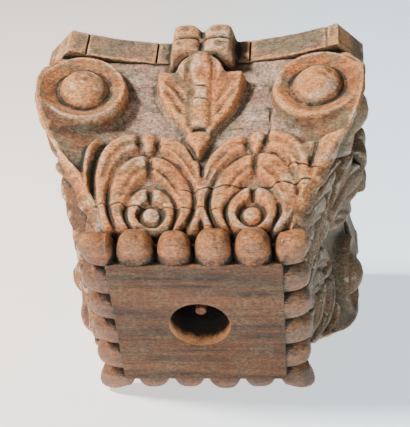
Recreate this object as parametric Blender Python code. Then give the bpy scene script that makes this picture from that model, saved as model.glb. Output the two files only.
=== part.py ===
"""Carved timber capital for a column, with a dowel standing in its socket.

The capital is one block: a square neck ringed by beads, a flared bell carved with leaves on
four sides, a pair of scrolls at the top of each side, and a hollow-sided abacus with a flower
block in the middle of each side. The neck has a round socket for the column's tenon.
Origin: centre of the neck's underside. +Z up the capital's axis, -Y the front.

The carved skin is a grid wrapped round the block. Each of its points starts on the plain block
and is carried out to the height of the carving there; the skin is then thinned where it is flat.
"""
import math

import bmesh
import bpy
import numpy as np
from mathutils import Matrix

# Overall sizes, in metres
CAPITAL_HEIGHT = 0.275
NECK_WIDTH = 0.170
ABACUS_SPAN = 0.338
ABACUS_HEIGHT = 0.037
ABACUS_HOLLOW = 0.0215
HORN_CUT = 0.027
WORN_EDGE = 0.002

# Neck: a thin square lip at the bottom, then a core set back behind the beads
NECK_LIP = 0.007
NECK_REBATE = 0.003
BEADS_PER_SIDE = 6
BEAD_HEIGHT = 0.032
BEAD_STANDOFF = 0.009
BEAD_PROUD = 0.027
BEAD_CLEAR_OF_BED = 0.0015
BEAD_SQUARENESS = 3.0
CORNER_BEAD_SWELL = 0.42

# Bell: how far its foot and its top stand from the neck and the abacus
BELL_SETOUT = 0.009
BAND_STEP = 0.0065
HORN_STEP = 0.003

# Socket, and the dowel in its floor
SOCKET_DIAMETER = 0.061
SOCKET_DEPTH = 0.060
SOCKET_SEGMENTS = 40
DOWEL_SEGMENTS = 16
DOWEL_DIAMETER = 0.011
DOWEL_RECESS = 0.019
DOWEL_ROOT = 0.016
FIT_GAP = 0.0003

# Scrolls: round discs that lean forward with the bell and turn with its hollow side
SCROLL_RADIUS = 0.0475
SCROLL_BOSS_RADIUS = 0.026
SCROLL_BOSS_HEIGHT = 0.0125
SCROLL_CHANNEL = 0.0035
SCROLL_RIM_WIDTH = 0.010
SCROLL_RIM_SLOPE = 0.004
SCROLL_DROP = 0.053
SCROLL_REACH = 0.161
SCROLL_LEAN = 0.12
SCROLL_TURN = 0.10

# Flower block on the abacus
FLOWER_WIDTH = 0.068
FLOWER_HEIGHT = 0.0505
FLOWER_PROUD = 0.028
PETAL_ROUNDING = 0.011

# Leaves: how far the carving stands out of the bell. The palm stands out further the higher it
# gets; its rib, the buds and the corner leaves stand out by a share of what the leaves do.
LEAF_PROUD = 0.0105
PALM_PROUD = 0.009
PALM_GROWTH = 0.012
RIB_SHARE = 1.1
BUD_SHARE = 0.8
CORNER_LEAF_SHARE = 0.6
FORM_SQUARENESS = 2.6
BUTTON_RADIUS = 0.0105
CARVING_DRIFT = 0.0055
WALL_SLOPE = 0.003

# Grid of the carved skin, and the number of triangles it is thinned to
SIDE_COLUMNS = 72
HORN_COLUMNS = 10
ROW_HEIGHT = 0.0024
SKIN_TRIANGLES = 8900
TRIM = 0.004

# Worked-out sizes
NECK_HALF = NECK_WIDTH / 2
ABACUS_HALF = ABACUS_SPAN / 2
ABACUS_FOOT = CAPITAL_HEIGHT - ABACUS_HEIGHT
ABACUS_MIDDLE = ABACUS_HALF - ABACUS_HOLLOW
BELL_FOOT = BEAD_CLEAR_OF_BED + BEAD_HEIGHT
BELL_HEIGHT = ABACUS_FOOT - BELL_FOOT
BELL_FOOT_HALF = NECK_HALF + BELL_SETOUT
BELL_TOP_MIDDLE = ABACUS_MIDDLE - BAND_STEP
BELL_TOP_CORNER = ABACUS_HALF - HORN_CUT / 2 - HORN_STEP

# The bell's corner: share of the bell's height, share of the corner's whole reach
CORNER_PROFILE = np.array((
    (0.00, 0.00), (0.12, 0.07), (0.19, 0.22), (0.31, 0.53), (0.38, 0.77), (0.44, 0.94), (0.50, 1.06),
    (0.56, 1.14), (0.62, 1.20), (0.70, 1.245), (0.78, 1.255), (0.86, 1.22), (0.93, 1.12), (1.00, 1.00),
))
# Width of the flat cut across the bell's corner, by share of the bell's height
CORNER_CUT = np.array(((0.00, 0.002), (0.38, 0.002), (0.58, 0.003), (0.90, 0.004), (1.00, 0.008)))
HOLLOW_POWER = 2.2

# Carving heights and reaches are shares of this unit across, and of this unit up
ACROSS = NECK_HALF
UPWARD = ABACUS_FOOT / 2.8

# Nested leaves of a medallion. For its outer and its inner line each leaf has its reach to the
# side, its rise and its drop from its centre, and its distance from the axis at the tip; then
# the height of its centre.
MEDALLION_LEAVES = (
    ((0.300, 0.35, 0.215, 0.015), (0.140, 0.14, 0.125, 0.015), 0.60),
    ((0.505, 0.64, 0.420, 0.015), (0.335, 0.41, 0.260, 0.015), 0.74),
    ((0.645, 0.71, 0.700, 0.130), (0.535, 0.47, 0.600, 0.130), 0.95),
    ((0.760, 0.50, 0.700, 0.430), (0.680, 0.46, 0.600, 0.300), 1.00),
)
MEDALLION_AT = 0.578
MEDALLION_LEAN = 0.10
MEDALLION_HEIGHT = 0.60
BUTTON_AT = 0.575

# Edges of the upright leaves: height, distance of the inner and of the outer edge
PALM_CROWN = np.array(((2.16, 0.00, 0.10), (2.28, 0.00, 0.12), (2.34, 0.00, 0.20), (2.40, 0.00, 0.28),
                       (2.46, 0.00, 0.325), (2.53, 0.00, 0.31), (2.59, 0.00, 0.26), (2.64, 0.00, 0.18),
                       (2.69, 0.00, 0.05)))
PALM_LOBE = np.array(((1.62, 0.05, 0.13), (1.72, 0.05, 0.19), (1.87, 0.05, 0.305), (2.01, 0.05, 0.425),
                      (2.20, 0.05, 0.505), (2.42, 0.05, 0.545), (2.50, 0.05, 0.50)))
PALM_RIB = np.array(((1.62, 0.00, 0.08), (2.50, 0.00, 0.105)))
# The palm's crown curls outward: height, how far it stands out
CROWN_CURL = np.array(((2.10, 0.14), (2.27, 0.22), (2.40, 0.29), (2.50, 0.34), (2.60, 0.37)))
MIDDLE_BUD = np.array(((1.28, 0.00, 0.02), (1.52, 0.00, 0.12), (1.62, 0.00, 0.15), (1.70, 0.00, 0.12)))
SIDE_BUD = np.array(((1.36, 0.00, 0.02), (1.46, 0.00, 0.07), (1.58, 0.00, 0.105), (1.68, 0.00, 0.06)))
CORNER_LEAF = np.array(((0.58, 1.08, 1.16), (0.80, 1.12, 1.26), (1.06, 1.28, 1.47), (1.34, 1.70, 1.78)))
LEAF_END = 0.05
LEAF_TIP = 0.035


def clear_scene():
    for old in list(bpy.data.objects):
        bpy.data.objects.remove(old, do_unlink=True)


def new_collection(name):
    made = bpy.data.collections.new(name)
    bpy.context.scene.collection.children.link(made)
    return made


def plain_material(name, colour, roughness):
    made = bpy.data.materials.new(name)
    made.use_nodes = True
    shader = made.node_tree.nodes["Principled BSDF"]
    shader.inputs["Base Color"].default_value = (*colour, 1.0)
    shader.inputs["Roughness"].default_value = roughness
    shader.inputs["Metallic"].default_value = 0.0
    return made


def object_from(name, bm, collection):
    mesh = bpy.data.meshes.new(name)
    bm.to_mesh(mesh)
    bm.free()
    made = bpy.data.objects.new(name, mesh)
    collection.objects.link(made)
    return made


def rounded(share):
    """Cross-section of a raised form: 1 at its middle, falling ever faster to 0 at its edge."""
    return np.sqrt(np.clip(1.0 - np.abs(share) ** FORM_SQUARENESS, 0.0, 1.0))


def ramp(distance, width):
    """0 outside an edge, 1 from one width inside it."""
    return np.clip(distance / width, 0.0, 1.0)


def bell_section(z):
    """Middle reach, corner reach and corner cut of the bell at each height."""
    share = np.clip((z - BELL_FOOT) / BELL_HEIGHT, 0.0, 1.0)
    middle = BELL_FOOT_HALF + (BELL_TOP_MIDDLE - BELL_FOOT_HALF) * share
    rise = np.interp(share, CORNER_PROFILE[:, 0], CORNER_PROFILE[:, 1])
    diagonal = BELL_FOOT_HALF + (BELL_TOP_CORNER - BELL_FOOT_HALF) * rise
    cut = np.interp(share, CORNER_CUT[:, 0], CORNER_CUT[:, 1])
    return middle, diagonal + cut / 2, cut


def neck_section(z):
    half = np.where(z <= NECK_LIP, NECK_HALF, NECK_HALF - NECK_REBATE)
    return half, half, np.full_like(z, WORN_EDGE)


def abacus_section(z):
    return np.full_like(z, ABACUS_MIDDLE), np.full_like(z, ABACUS_HALF), np.full_like(z, HORN_CUT)


def beads(x, z):
    """Cushions in a row; those at the ends are the corner beads."""
    line = NECK_HALF + BEAD_STANDOFF
    pitch = 2 * line / (BEADS_PER_SIDE - 1)
    off_centre = np.mod(x + line + pitch / 2, pitch) / pitch * 2 - 1
    off_height = (z - BEAD_CLEAR_OF_BED) / BEAD_HEIGHT * 2 - 1
    outline = np.abs(off_centre) ** BEAD_SQUARENESS + np.abs(off_height) ** BEAD_SQUARENESS
    inside = np.clip(1 - outline, 0.0, 1.0)
    return (BEAD_PROUD + NECK_REBATE) * np.sqrt(inside)


def onion(x, z, line, centre):
    """Below 1 inside an onion-shaped line, above 1 outside it."""
    reach, rise, drop, slit = line
    sideways = np.maximum(x - slit, 0.0) / (reach - slit)
    upward = (z - centre) / np.where(z > centre, rise, drop)
    return np.hypot(sideways, upward)


def medallion(x, z, hand):
    """Leaves closing round a button; x and z in carving units."""
    axis = hand * (MEDALLION_AT + MEDALLION_LEAN * (z - MEDALLION_HEIGHT)) + CARVING_DRIFT / ACROSS
    away = np.abs(x - axis)
    height = np.zeros_like(x)
    for outer_line, inner_line, centre in MEDALLION_LEAVES:
        outside = onion(away, z, outer_line, centre)
        inside = onion(away, z, inner_line, centre)
        span = np.maximum((inside - 1) + (1 - outside), 1e-6)
        share = np.where((outside < 1) & (inside > 1), 2 * (inside - 1) / span - 1, 1.0)
        slit = np.where(z > centre, outer_line[3], 0.0)
        tip = np.sqrt(ramp(away - slit, LEAF_TIP))
        height = np.maximum(height, LEAF_PROUD * rounded(share) * tip)
    radius = BUTTON_RADIUS / ACROSS
    button = np.hypot(away, z - BUTTON_AT) / radius
    height = np.maximum(height, LEAF_PROUD * rounded(button))
    return np.maximum(height, LEAF_PROUD * BUD_SHARE * upright_leaf(away, z, SIDE_BUD))


def upright_leaf(away, z, edges):
    """A leaf between two edges that change with height; away is the distance from its axis."""
    inner = np.interp(z, edges[:, 0], edges[:, 1])
    outer = np.interp(z, edges[:, 0], edges[:, 2])
    one_sided = edges[:, 1].max() > 0
    start = inner if one_sided else -outer
    share = 2 * (away - start) / np.maximum(outer - start, 1e-6) - 1
    ends = ramp(z - edges[0, 0], LEAF_END) * ramp(edges[-1, 0] - z, LEAF_END)
    return rounded(share) * np.sqrt(ends)


def palm(x, z):
    """Two lobes on a rib in the middle of a side, with a crown that curls out above them."""
    away = np.abs(x)
    low, high = PALM_LOBE[0, 0], PALM_LOBE[-1, 0]
    proud = PALM_PROUD + PALM_GROWTH * np.clip((z - low) / (high - low), 0.0, 1.0)
    lobes = proud * upright_leaf(away, z, PALM_LOBE)
    rib = proud * RIB_SHARE * upright_leaf(away, z, PALM_RIB)
    curl = ACROSS * np.interp(z, CROWN_CURL[:, 0], CROWN_CURL[:, 1])
    crown = curl * upright_leaf(away, z, PALM_CROWN)
    bud = LEAF_PROUD * BUD_SHARE * upright_leaf(away, z, MIDDLE_BUD)
    return np.maximum.reduce((lobes, rib, crown, bud))


def leaves(x, z):
    """Height of all leaf work on a side of the bell, at places in metres."""
    across, upward = x / ACROSS, z / UPWARD
    left, right = (medallion(across, upward, hand) for hand in (-1, 1))
    height = np.where(x < CARVING_DRIFT, left, right)
    height = np.maximum(height, palm(across, upward))
    corner_leaf = upright_leaf(np.abs(across), upward, CORNER_LEAF)
    return np.maximum(height, LEAF_PROUD * CORNER_LEAF_SHARE * corner_leaf)


def scroll_reach(x, z):
    """How far a side's two scrolls reach, and how surely a place lies on them."""
    centre_x = ABACUS_HALF - SCROLL_RADIUS - WORN_EDGE
    centre_z = ABACUS_FOOT - SCROLL_DROP
    off_x, off_z = np.abs(x) - centre_x, z - centre_z
    radius = np.hypot(off_x, off_z)
    boss = SCROLL_BOSS_HEIGHT * np.sqrt(np.clip(1 - (radius / SCROLL_BOSS_RADIUS) ** 2, 0.0, 1.0))
    rim_at = SCROLL_RADIUS - SCROLL_RIM_WIDTH
    channel = SCROLL_CHANNEL * (1 - ramp(radius - rim_at, SCROLL_RIM_SLOPE))
    plane = SCROLL_REACH + SCROLL_TURN * off_x + SCROLL_LEAN * off_z
    return plane + boss - channel, ramp(SCROLL_RADIUS - radius, WALL_SLOPE)


def flower_reach(x, z):
    """How far the flower block reaches, and how surely a place lies on it."""
    half, foot = FLOWER_WIDTH / 2, CAPITAL_HEIGHT - FLOWER_HEIGHT
    row = FLOWER_HEIGHT / 2
    off_x = (np.abs(x) - half / 2) / (half / 2)
    off_z = np.mod(z - foot, row) / row * 2 - 1
    outline = np.abs(off_x) ** FORM_SQUARENESS + np.abs(off_z) ** FORM_SQUARENESS
    petals = PETAL_ROUNDING * (np.sqrt(np.clip(1 - outline, 0.0, 1.0)) - 1)
    on_block = ramp(half - np.abs(x), WALL_SLOPE / 2) * ramp(z - foot + WALL_SLOPE, WALL_SLOPE)
    return ABACUS_MIDDLE + FLOWER_PROUD + petals, on_block


def carved_reach(x, z, section, on_neck):
    """How far the carved side reaches out from the axis at each place."""
    middle, corner, cut = section
    share = np.clip(np.abs(x) / (corner - cut), 0.0, 1.0)
    plain = middle + (corner - middle) * share ** HOLLOW_POWER
    if on_neck:
        return np.maximum(plain, NECK_HALF - NECK_REBATE + beads(x, z))
    on_bell = z < ABACUS_FOOT
    reach = plain + np.where(on_bell, leaves(x, z), 0.0)
    scroll, surely = scroll_reach(x, z)
    reach = reach + np.where(on_bell, (scroll - reach) * surely, 0.0)
    block, surely = flower_reach(x, z)
    return np.where(surely > 0, np.maximum(reach, plain + (block - plain) * surely), reach)


def rows():
    """Heights of the grid's rows, each with the section of the plain block that it follows."""
    def evenly(low, high):
        return np.linspace(low, high, max(2, round((high - low) / ROW_HEIGHT) + 1))
    levels = [(z, neck_section) for z in (-TRIM, BEAD_CLEAR_OF_BED / 2)]
    levels += [(z, neck_section) for z in evenly(BEAD_CLEAR_OF_BED, BELL_FOOT)]
    levels += [(z, bell_section) for z in evenly(BELL_FOOT, ABACUS_FOOT)]
    levels += [(z, abacus_section) for z in evenly(ABACUS_FOOT, CAPITAL_HEIGHT + TRIM)]
    return levels


def horn_points(start, end, swell):
    """Points across a corner, from the end of one side to the start of the next.

    Higher up the corner is cut flat. Round the neck the corner bead swells out of it.
    """
    share = np.arange(1, HORN_COLUMNS)[:, None] / HORN_COLUMNS
    angle = share * math.pi / 2
    out = swell * (1 + CORNER_BEAD_SWELL * np.sin(2 * angle))
    return start + (end - start) * share + out * np.hstack((np.sin(angle), -np.cos(angle)))


def skin_row(height, section_of):
    """The grid's points at one height, once round the block."""
    on_neck = section_of is neck_section
    u = np.linspace(-1.0, 1.0, SIDE_COLUMNS + 1)
    z = np.full_like(u, height)
    section = section_of(z)
    x = u * (section[1] - section[2])
    reach = carved_reach(x, z, section, on_neck)
    swell = reach[-1] - section[1][0] if on_neck else 0.0
    start = np.array((x[-1], swell - reach[-1]))
    end = np.array((reach[0] - swell, x[0]))
    horn = horn_points(start, end, swell)
    side = np.vstack((np.column_stack((x, -reach)), horn))
    around = []
    for quarter in range(4):
        turn = np.array(Matrix.Rotation(quarter * math.pi / 2, 2))
        around.append(side @ turn.T)
    flat = np.vstack(around)
    return np.column_stack((flat, np.full(len(flat), height)))


def make_skin(collection):
    """The carved block as one closed grid, a little too long at both ends."""
    bm = bmesh.new()
    rings = [[bm.verts.new(point) for point in skin_row(*level)] for level in rows()]
    for low, high in zip(rings, rings[1:]):
        for i in range(len(low)):
            j = (i + 1) % len(low)
            bm.faces.new((low[i], low[j], high[j], high[i]))
    for end in (rings[0], rings[-1]):
        bm.faces.new(end)
    bmesh.ops.recalc_face_normals(bm, faces=bm.faces)
    made = object_from("capital", bm, collection)
    thin = made.modifiers.new("thin where flat", "DECIMATE")
    thin.ratio = SKIN_TRIANGLES / sum(len(face.vertices) - 2 for face in made.data.polygons)
    return made


def make_cylinder(name, diameter, low, high, segments, collection):
    bm = bmesh.new()
    radius = diameter / 2
    size = {"radius1": radius, "radius2": radius, "depth": high - low}
    bmesh.ops.create_cone(bm, cap_ends=True, segments=segments, **size)
    bmesh.ops.transform(bm, matrix=Matrix.Translation((0, 0, (low + high) / 2)), verts=bm.verts)
    return object_from(name, bm, collection)


def make_trim_box(collection):
    """Everything between the flat bed and the flat top."""
    bm = bmesh.new()
    bmesh.ops.create_cube(bm, size=1.0)
    size = Matrix.Diagonal((ABACUS_SPAN * 2, ABACUS_SPAN * 2, CAPITAL_HEIGHT, 1.0))
    bmesh.ops.transform(bm, matrix=Matrix.Translation((0, 0, CAPITAL_HEIGHT / 2)) @ size, verts=bm.verts)
    return object_from("trim box", bm, collection)


def boolean(target, operation, operand):
    step = target.modifiers.new(operand.name, "BOOLEAN")
    step.operation = operation
    step.solver = "EXACT"
    step.object = operand
    operand.hide_render = True
    operand.display_type = "WIRE"


def main():
    clear_scene()
    parts = new_collection("column capital")
    cutters = new_collection("cutters")
    capital = make_skin(parts)
    socket = make_cylinder("socket", SOCKET_DIAMETER, -SOCKET_DEPTH, SOCKET_DEPTH, SOCKET_SEGMENTS, cutters)
    hole_top = SOCKET_DEPTH + DOWEL_ROOT + FIT_GAP
    hole_width = DOWEL_DIAMETER + 2 * FIT_GAP
    hole = make_cylinder("dowel hole", hole_width, SOCKET_DEPTH / 2, hole_top, DOWEL_SEGMENTS, cutters)
    boolean(capital, "INTERSECT", make_trim_box(cutters))
    boolean(capital, "DIFFERENCE", socket)
    boolean(capital, "DIFFERENCE", hole)
    dowel_end = SOCKET_DEPTH + DOWEL_ROOT
    dowel = make_cylinder("dowel", DOWEL_DIAMETER, DOWEL_RECESS, dowel_end, DOWEL_SEGMENTS, parts)
    capital.data.materials.append(plain_material("aged wood", (0.27, 0.15, 0.085), 0.62))
    dowel.data.materials.append(plain_material("dowel wood", (0.34, 0.17, 0.09), 0.7))
    dowel.data.shade_smooth()
    dowel.data.set_sharp_from_angle(angle=math.radians(40))


main()
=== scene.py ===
# %% [markdown]
# # Carved timber capital
# A capital is the carved block on top of a column. This one is a single block of hardwood: a
# square neck with a round socket, a ring of beads, a flared bell carved with leaves, a pair of
# scrolls at the top of each side, and a hollow-sided abacus with a flower block in each middle.
# It stands upright here, and the camera looks up at it from below, as at a capital on its column.

import math

import bmesh
import bpy
import numpy as np
from mathutils import Matrix, Vector, bvhtree, kdtree


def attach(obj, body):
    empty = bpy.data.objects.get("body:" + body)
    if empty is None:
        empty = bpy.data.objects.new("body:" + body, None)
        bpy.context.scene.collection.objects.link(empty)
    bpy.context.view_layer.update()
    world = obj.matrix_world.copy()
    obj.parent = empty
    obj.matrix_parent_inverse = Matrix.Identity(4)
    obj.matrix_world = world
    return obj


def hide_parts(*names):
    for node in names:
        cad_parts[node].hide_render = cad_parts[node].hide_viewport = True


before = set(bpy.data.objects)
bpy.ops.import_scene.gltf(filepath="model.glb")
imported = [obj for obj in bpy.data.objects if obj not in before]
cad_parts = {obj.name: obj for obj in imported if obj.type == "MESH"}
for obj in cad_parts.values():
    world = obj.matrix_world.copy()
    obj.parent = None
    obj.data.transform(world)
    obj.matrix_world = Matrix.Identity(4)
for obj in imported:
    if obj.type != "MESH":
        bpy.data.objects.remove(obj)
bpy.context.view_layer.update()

# %% [markdown]
# ## Sizes
# The carving follows the same named sizes as the solids, in metres. Leaf work is drawn in shares
# of one unit, half the width of the neck, because a carver sets a leaf out with dividers.

# %% Sizes of the block
HEIGHT = 0.275
NECK_HALF = 0.085
ABACUS_HALF = 0.169
ABACUS_HEIGHT = 0.037
ABACUS_HOLLOW = 0.0215
HORN_CUT = 0.027
WORN_EDGE = 0.002
NECK_LIP = 0.007
NECK_REBATE = 0.003
BELL_SETOUT = 0.009
BAND_STEP = 0.0020
HORN_STEP = 0.003
UNIT = NECK_HALF

ABACUS_FOOT = HEIGHT - ABACUS_HEIGHT
ABACUS_MIDDLE = ABACUS_HALF - ABACUS_HOLLOW

print("block:", 2 * ABACUS_HALF, "m over the abacus,", HEIGHT, "m high")

# %% [markdown]
# The ornament has sizes of its own. They say how big one bead, scroll or flower is and where it
# sits, and all four sides use them, so that the sides stay alike.

# %% Sizes of the ornament
BEADS_PER_SIDE = 6
BEAD_FOOT = 0.0015
BEAD_HEIGHT = 0.032
BEAD_STANDOFF = 0.009
BEAD_PROUD = 0.027
CORNER_BEAD_SWELL = 0.60
BELL_FOOT = BEAD_FOOT + BEAD_HEIGHT
BELL_HEIGHT = ABACUS_FOOT - BELL_FOOT

LEAF_PROUD = 0.0105
PALM_PROUD = 0.009
PALM_GROWTH = 0.010
SCROLL_RADIUS = 0.0475
SCROLL_REACH = 0.161
SCROLL_DROP = 0.053
SCROLL_LEAN = 0.12
SCROLL_TURN = 0.10
FLOWER_WIDTH = 0.068
FLOWER_HEIGHT = 0.0505
FLOWER_PROUD = 0.028
SOCKET_RADIUS = 0.0305
SOCKET_DEPTH = 0.060
DOWEL_RADIUS = 0.0055
DOWEL_END = 0.019

print("bell starts at", BELL_FOOT, "m and is", BELL_HEIGHT, "m high")

# %% [markdown]
# ## Camera
# The camera stands low in front of the capital and looks up at it. Its three axes and its
# distance are given as numbers, and the long lens keeps the square neck nearly square.

# %% Set up the camera
CAMERA_PLACE = Vector((1.295, -10.2, -8.92)) * UNIT
CAMERA_RIGHT = Vector((0.99588, 0.07046, 0.05711))
CAMERA_UP = Vector((0.01211, -0.72727, 0.68625))
CAMERA_BACK = Vector((0.08988, -0.68273, -0.72512))
LENS = 97.6
FILM_WIDTH = 36.0

camera_data = bpy.data.cameras.new("camera")
camera_data.sensor_fit = "AUTO"
camera_data.sensor_width = FILM_WIDTH
camera_data.lens = LENS
camera = bpy.data.objects.new("camera", camera_data)
bpy.context.scene.collection.objects.link(camera)
camera_turn = Matrix((CAMERA_RIGHT, CAMERA_UP, CAMERA_BACK)).transposed()
camera.matrix_world = Matrix.Translation(CAMERA_PLACE) @ camera_turn.to_4x4()
bpy.context.scene.camera = camera
print("camera at", [round(v, 3) for v in CAMERA_PLACE])

# %% [markdown]
# ## How the carving is made
# A carver squares a block, draws the ornament on it and cuts back what isn't wanted. The same
# can be done to a mesh: a cylinder is cut into thousands of small faces, wrapped round the block,
# and each of its points is pushed out to the height of the carving there. The height comes from
# small functions, one for each kind of ornament, and the highest one wins. This was chosen over
# building every leaf on its own, because it gives one closed skin, as the real block has.

# %% Helpers for heights
HILL_TABLE = 128


def rough(x, z, size, seed):
    """Smooth random hills from -1 to 1; size is the distance from one hill to the next."""
    table = np.random.default_rng(seed).uniform(-1.0, 1.0, (HILL_TABLE, HILL_TABLE))
    i, j = np.floor(x / size).astype(int), np.floor(z / size).astype(int)
    a, b = x / size - i, z / size - j
    a, b = a * a * (3 - 2 * a), b * b * (3 - 2 * b)
    i, next_i, j, next_j = (number % HILL_TABLE for number in (i, i + 1, j, j + 1))
    low = table[i, j] * (1 - a) + table[next_i, j] * a
    high = table[i, next_j] * (1 - a) + table[next_i, next_j] * a
    return low * (1 - b) + high * b


def ramp(distance, width):
    """0 outside an edge, 1 from one width inside it, with soft ends."""
    share = np.clip(distance / width, 0.0, 1.0)
    return share * share * (3 - 2 * share)


def soften(reach):
    """Average each point with its neighbours, as a hand rubs an edge round."""
    for axis in (0, 1):
        padded = np.pad(reach, [(1, 1) if axis == k else (0, 0) for k in (0, 1)], mode="edge")
        before = padded.take(range(reach.shape[axis]), axis=axis)
        after = padded.take(range(2, reach.shape[axis] + 2), axis=axis)
        reach = (before + 2 * reach + after) / 4
    return reach


def groove(distance, half_width):
    """1 on a line, falling to 0 beside it."""
    return np.exp(-(distance / half_width) ** 2)


print("ramp half way:", ramp(0.5, 1.0))

# %% [markdown]
# ## The plain block
# Each height has a square section with hollow sides and cut corners. The bell's corners swing
# out quickly and then turn in a little under the abacus, like the rim of a bell.

# %% Sections of the block
CORNER_PROFILE = np.array((
    (0.00, 0.00), (0.12, 0.07), (0.19, 0.22), (0.31, 0.53), (0.38, 0.77), (0.44, 0.94), (0.50, 1.06),
    (0.56, 1.14), (0.62, 1.20), (0.70, 1.245), (0.78, 1.255), (0.86, 1.22), (0.93, 1.12), (1.00, 1.00),
))
# The cut across the corner: share of the bell's height, width of the cut
CORNER_CUT = np.array(((0.00, 0.002), (0.38, 0.002), (0.58, 0.003), (0.90, 0.004), (1.00, 0.008)))
HOLLOW_POWER = 2.2
BELL_FOOT_HALF = NECK_HALF + BELL_SETOUT
BELL_TOP_MIDDLE = ABACUS_MIDDLE - BAND_STEP
BELL_TOP_CORNER = ABACUS_HALF - HORN_CUT / 2 - HORN_STEP
NECK_WEAR = 0.0007
ABACUS_TOP_WEAR = 0.0012
ABACUS_FOOT_WEAR = 0.0010


def bell_section(z):
    """Reach in the middle of a side, reach at its corner and width of the corner's cut."""
    share = np.clip((z - BELL_FOOT) / BELL_HEIGHT, 0.0, 1.0)
    middle = BELL_FOOT_HALF + (BELL_TOP_MIDDLE - BELL_FOOT_HALF) * share
    rise = np.interp(share, CORNER_PROFILE[:, 0], CORNER_PROFILE[:, 1])
    diagonal = BELL_FOOT_HALF + (BELL_TOP_CORNER - BELL_FOOT_HALF) * rise
    cut = np.interp(share, CORNER_CUT[:, 0], CORNER_CUT[:, 1])
    return middle, diagonal + cut / 2, cut


def neck_section(z):
    worn = NECK_WEAR * (1 - ramp(z, 0.001))
    return NECK_HALF - worn, NECK_HALF - worn, np.full_like(z, WORN_EDGE)


def abacus_section(z):
    worn = ABACUS_TOP_WEAR * (1 - ramp(HEIGHT - z, 0.0016))
    worn = worn + ABACUS_FOOT_WEAR * (1 - ramp(z - ABACUS_FOOT, 0.0012))
    return ABACUS_MIDDLE - worn, ABACUS_HALF - worn, np.full_like(z, HORN_CUT)


print("bell half way up:", [round(float(v), 4) for v in bell_section(BELL_FOOT + BELL_HEIGHT / 2)])

# %% [markdown]
# ## Beads
# The ring of beads is a row of cushions, six to a side counting the two at the corners. They were
# rounded one by one with a flat chisel, so no two are quite alike, and some have lost a chip.

# %% Bead heights
BEAD_SQUARENESS = 2.7
BEAD_ROUNDING = 0.46
BEAD_WEAR = 0.0006


def beads(x, z, side):
    """How far the beads stand out of the rebate in the neck."""
    line = NECK_HALF + BEAD_STANDOFF
    pitch = 2 * line / (BEADS_PER_SIDE - 1)
    x = x + 0.0008 * rough(x, z, 0.02, 11 + side)
    number = np.floor((x + line + pitch / 2) / pitch)
    size = 1 + 0.05 * np.sin(number * 2.3 + side * 1.7)
    off_centre = (np.mod(x + line + pitch / 2, pitch) / pitch * 2 - 1) * 1.02 / size
    off_height = ((z - BEAD_FOOT) / BEAD_HEIGHT * 2 - 1) * (1 + 0.03 * np.sin(number * 1.3 + side))
    filled = np.abs(off_centre) ** BEAD_SQUARENESS, np.abs(off_height) ** BEAD_SQUARENESS
    inside = np.clip(1 - filled[0] - filled[1], 0.0, 1.0)
    worn = BEAD_WEAR * rough(x, z, 0.007, 12 + side)
    proud = (BEAD_PROUD + NECK_REBATE) * size - BEAD_WEAR
    return proud * inside ** BEAD_ROUNDING + worn * (inside > 0)


print("beads:", 4 * (BEADS_PER_SIDE - 1), "round the neck")

# %% [markdown]
# ## Rings of leaves
# Each medallion is a nest of leaves that close round a button. Every leaf lies between two
# onion-shaped lines, and the inner line of one is the outer line of the next. A leaf rises
# steeply from its inner line and is nearly flat to its outer edge, where it drops to the next.

# %% Medallion lines
# Each line: height of its widest place, reach to the side, rise, drop, gap at its tip, fullness
RING_LINES = (
    ((0.62, 0.30, 0.33, 0.295, 0.012, 2.0), (0.58, 0.150, 0.15, 0.13, 0.012, 1.6)),
    ((0.76, 0.502, 0.62, 0.50, 0.012, 2.0), (0.62, 0.302, 0.42, 0.297, 0.012, 1.25)),
    ((0.90, 0.66, 0.76, 0.80, 0.125, 2.1), (0.76, 0.504, 0.60, 0.502, 0.125, 1.5)),
    ((0.95, 0.775, 0.55, 0.80, 0.44, 3.5), (0.90, 0.690, 0.78, 0.802, 0.145, 2.1)),
)
EDGE_WIDTH = 0.027
RING_FLOOR = 0.38
BUTTON_AT = 0.575
BUTTON_RADIUS = 0.128
FLANK_WIDTH = 0.52
TOP_FALL = 0.30
LEAF_VEIN_AT = 0.56
LEAF_VEIN_HALF = 0.065
LEAF_VEIN_DEPTH = 0.0032
SIDE_BUD = np.array(((1.34, 0.00, 0.02), (1.44, 0.00, 0.075), (1.56, 0.00, 0.115), (1.68, 0.00, 0.09)))
# Place of each medallion's axis at the button and its lean, left and right of the middle
AXES_FRONT = ((-0.50, -0.085), (0.654, 0.035))
AXES_OTHER = ((-0.56, -0.08), (0.60, 0.08))
# How many rings each medallion has, left and right; leaves fan out where the last one is missing
RINGS_FRONT = (4, 3)
RINGS_OTHER = (4, 4)

print("medallions:", RINGS_FRONT, "rings on the front,", RINGS_OTHER, "elsewhere")

# %% [markdown]
# ### Leaves between lines
# Two helpers draw every leaf. One tells how far a place lies from an onion-shaped line, and the
# other draws an upright leaf between two edges that are given as short tables.

# %% Leaf helpers


def level(away, z, line):
    """Below 1 inside an onion-shaped line, above 1 outside it."""
    widest, reach, rise, drop, gap, fullness = line
    sideways = np.maximum(away - gap, 0.0) / (reach - gap)
    above = z > widest
    upward = np.abs(z - widest) / np.where(above, rise, drop)
    power = np.where(above, fullness, 2.0)
    return (sideways ** power + upward ** power) ** (1 / power)


def upright_leaf(away, z, edges, end_width=0.05):
    """Share across a leaf whose edges change with height, and how surely a place lies on it."""
    inner = np.interp(z, edges[:, 0], edges[:, 1])
    outer = np.interp(z, edges[:, 0], edges[:, 2])
    share = (away - inner) / np.maximum(outer - inner, 1e-6)
    ends = ramp(z - edges[0, 0], end_width) * ramp(edges[-1, 0] - z, end_width)
    edge = ramp(outer - away, 0.03) * np.where(edges[:, 1].max() > 0, ramp(away - inner, 0.03), 1.0)
    return share, ends * edge


print("inside an onion line:", float(level(np.array(0.0), np.array(0.9), RING_LINES[3][0])) < 1)

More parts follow.
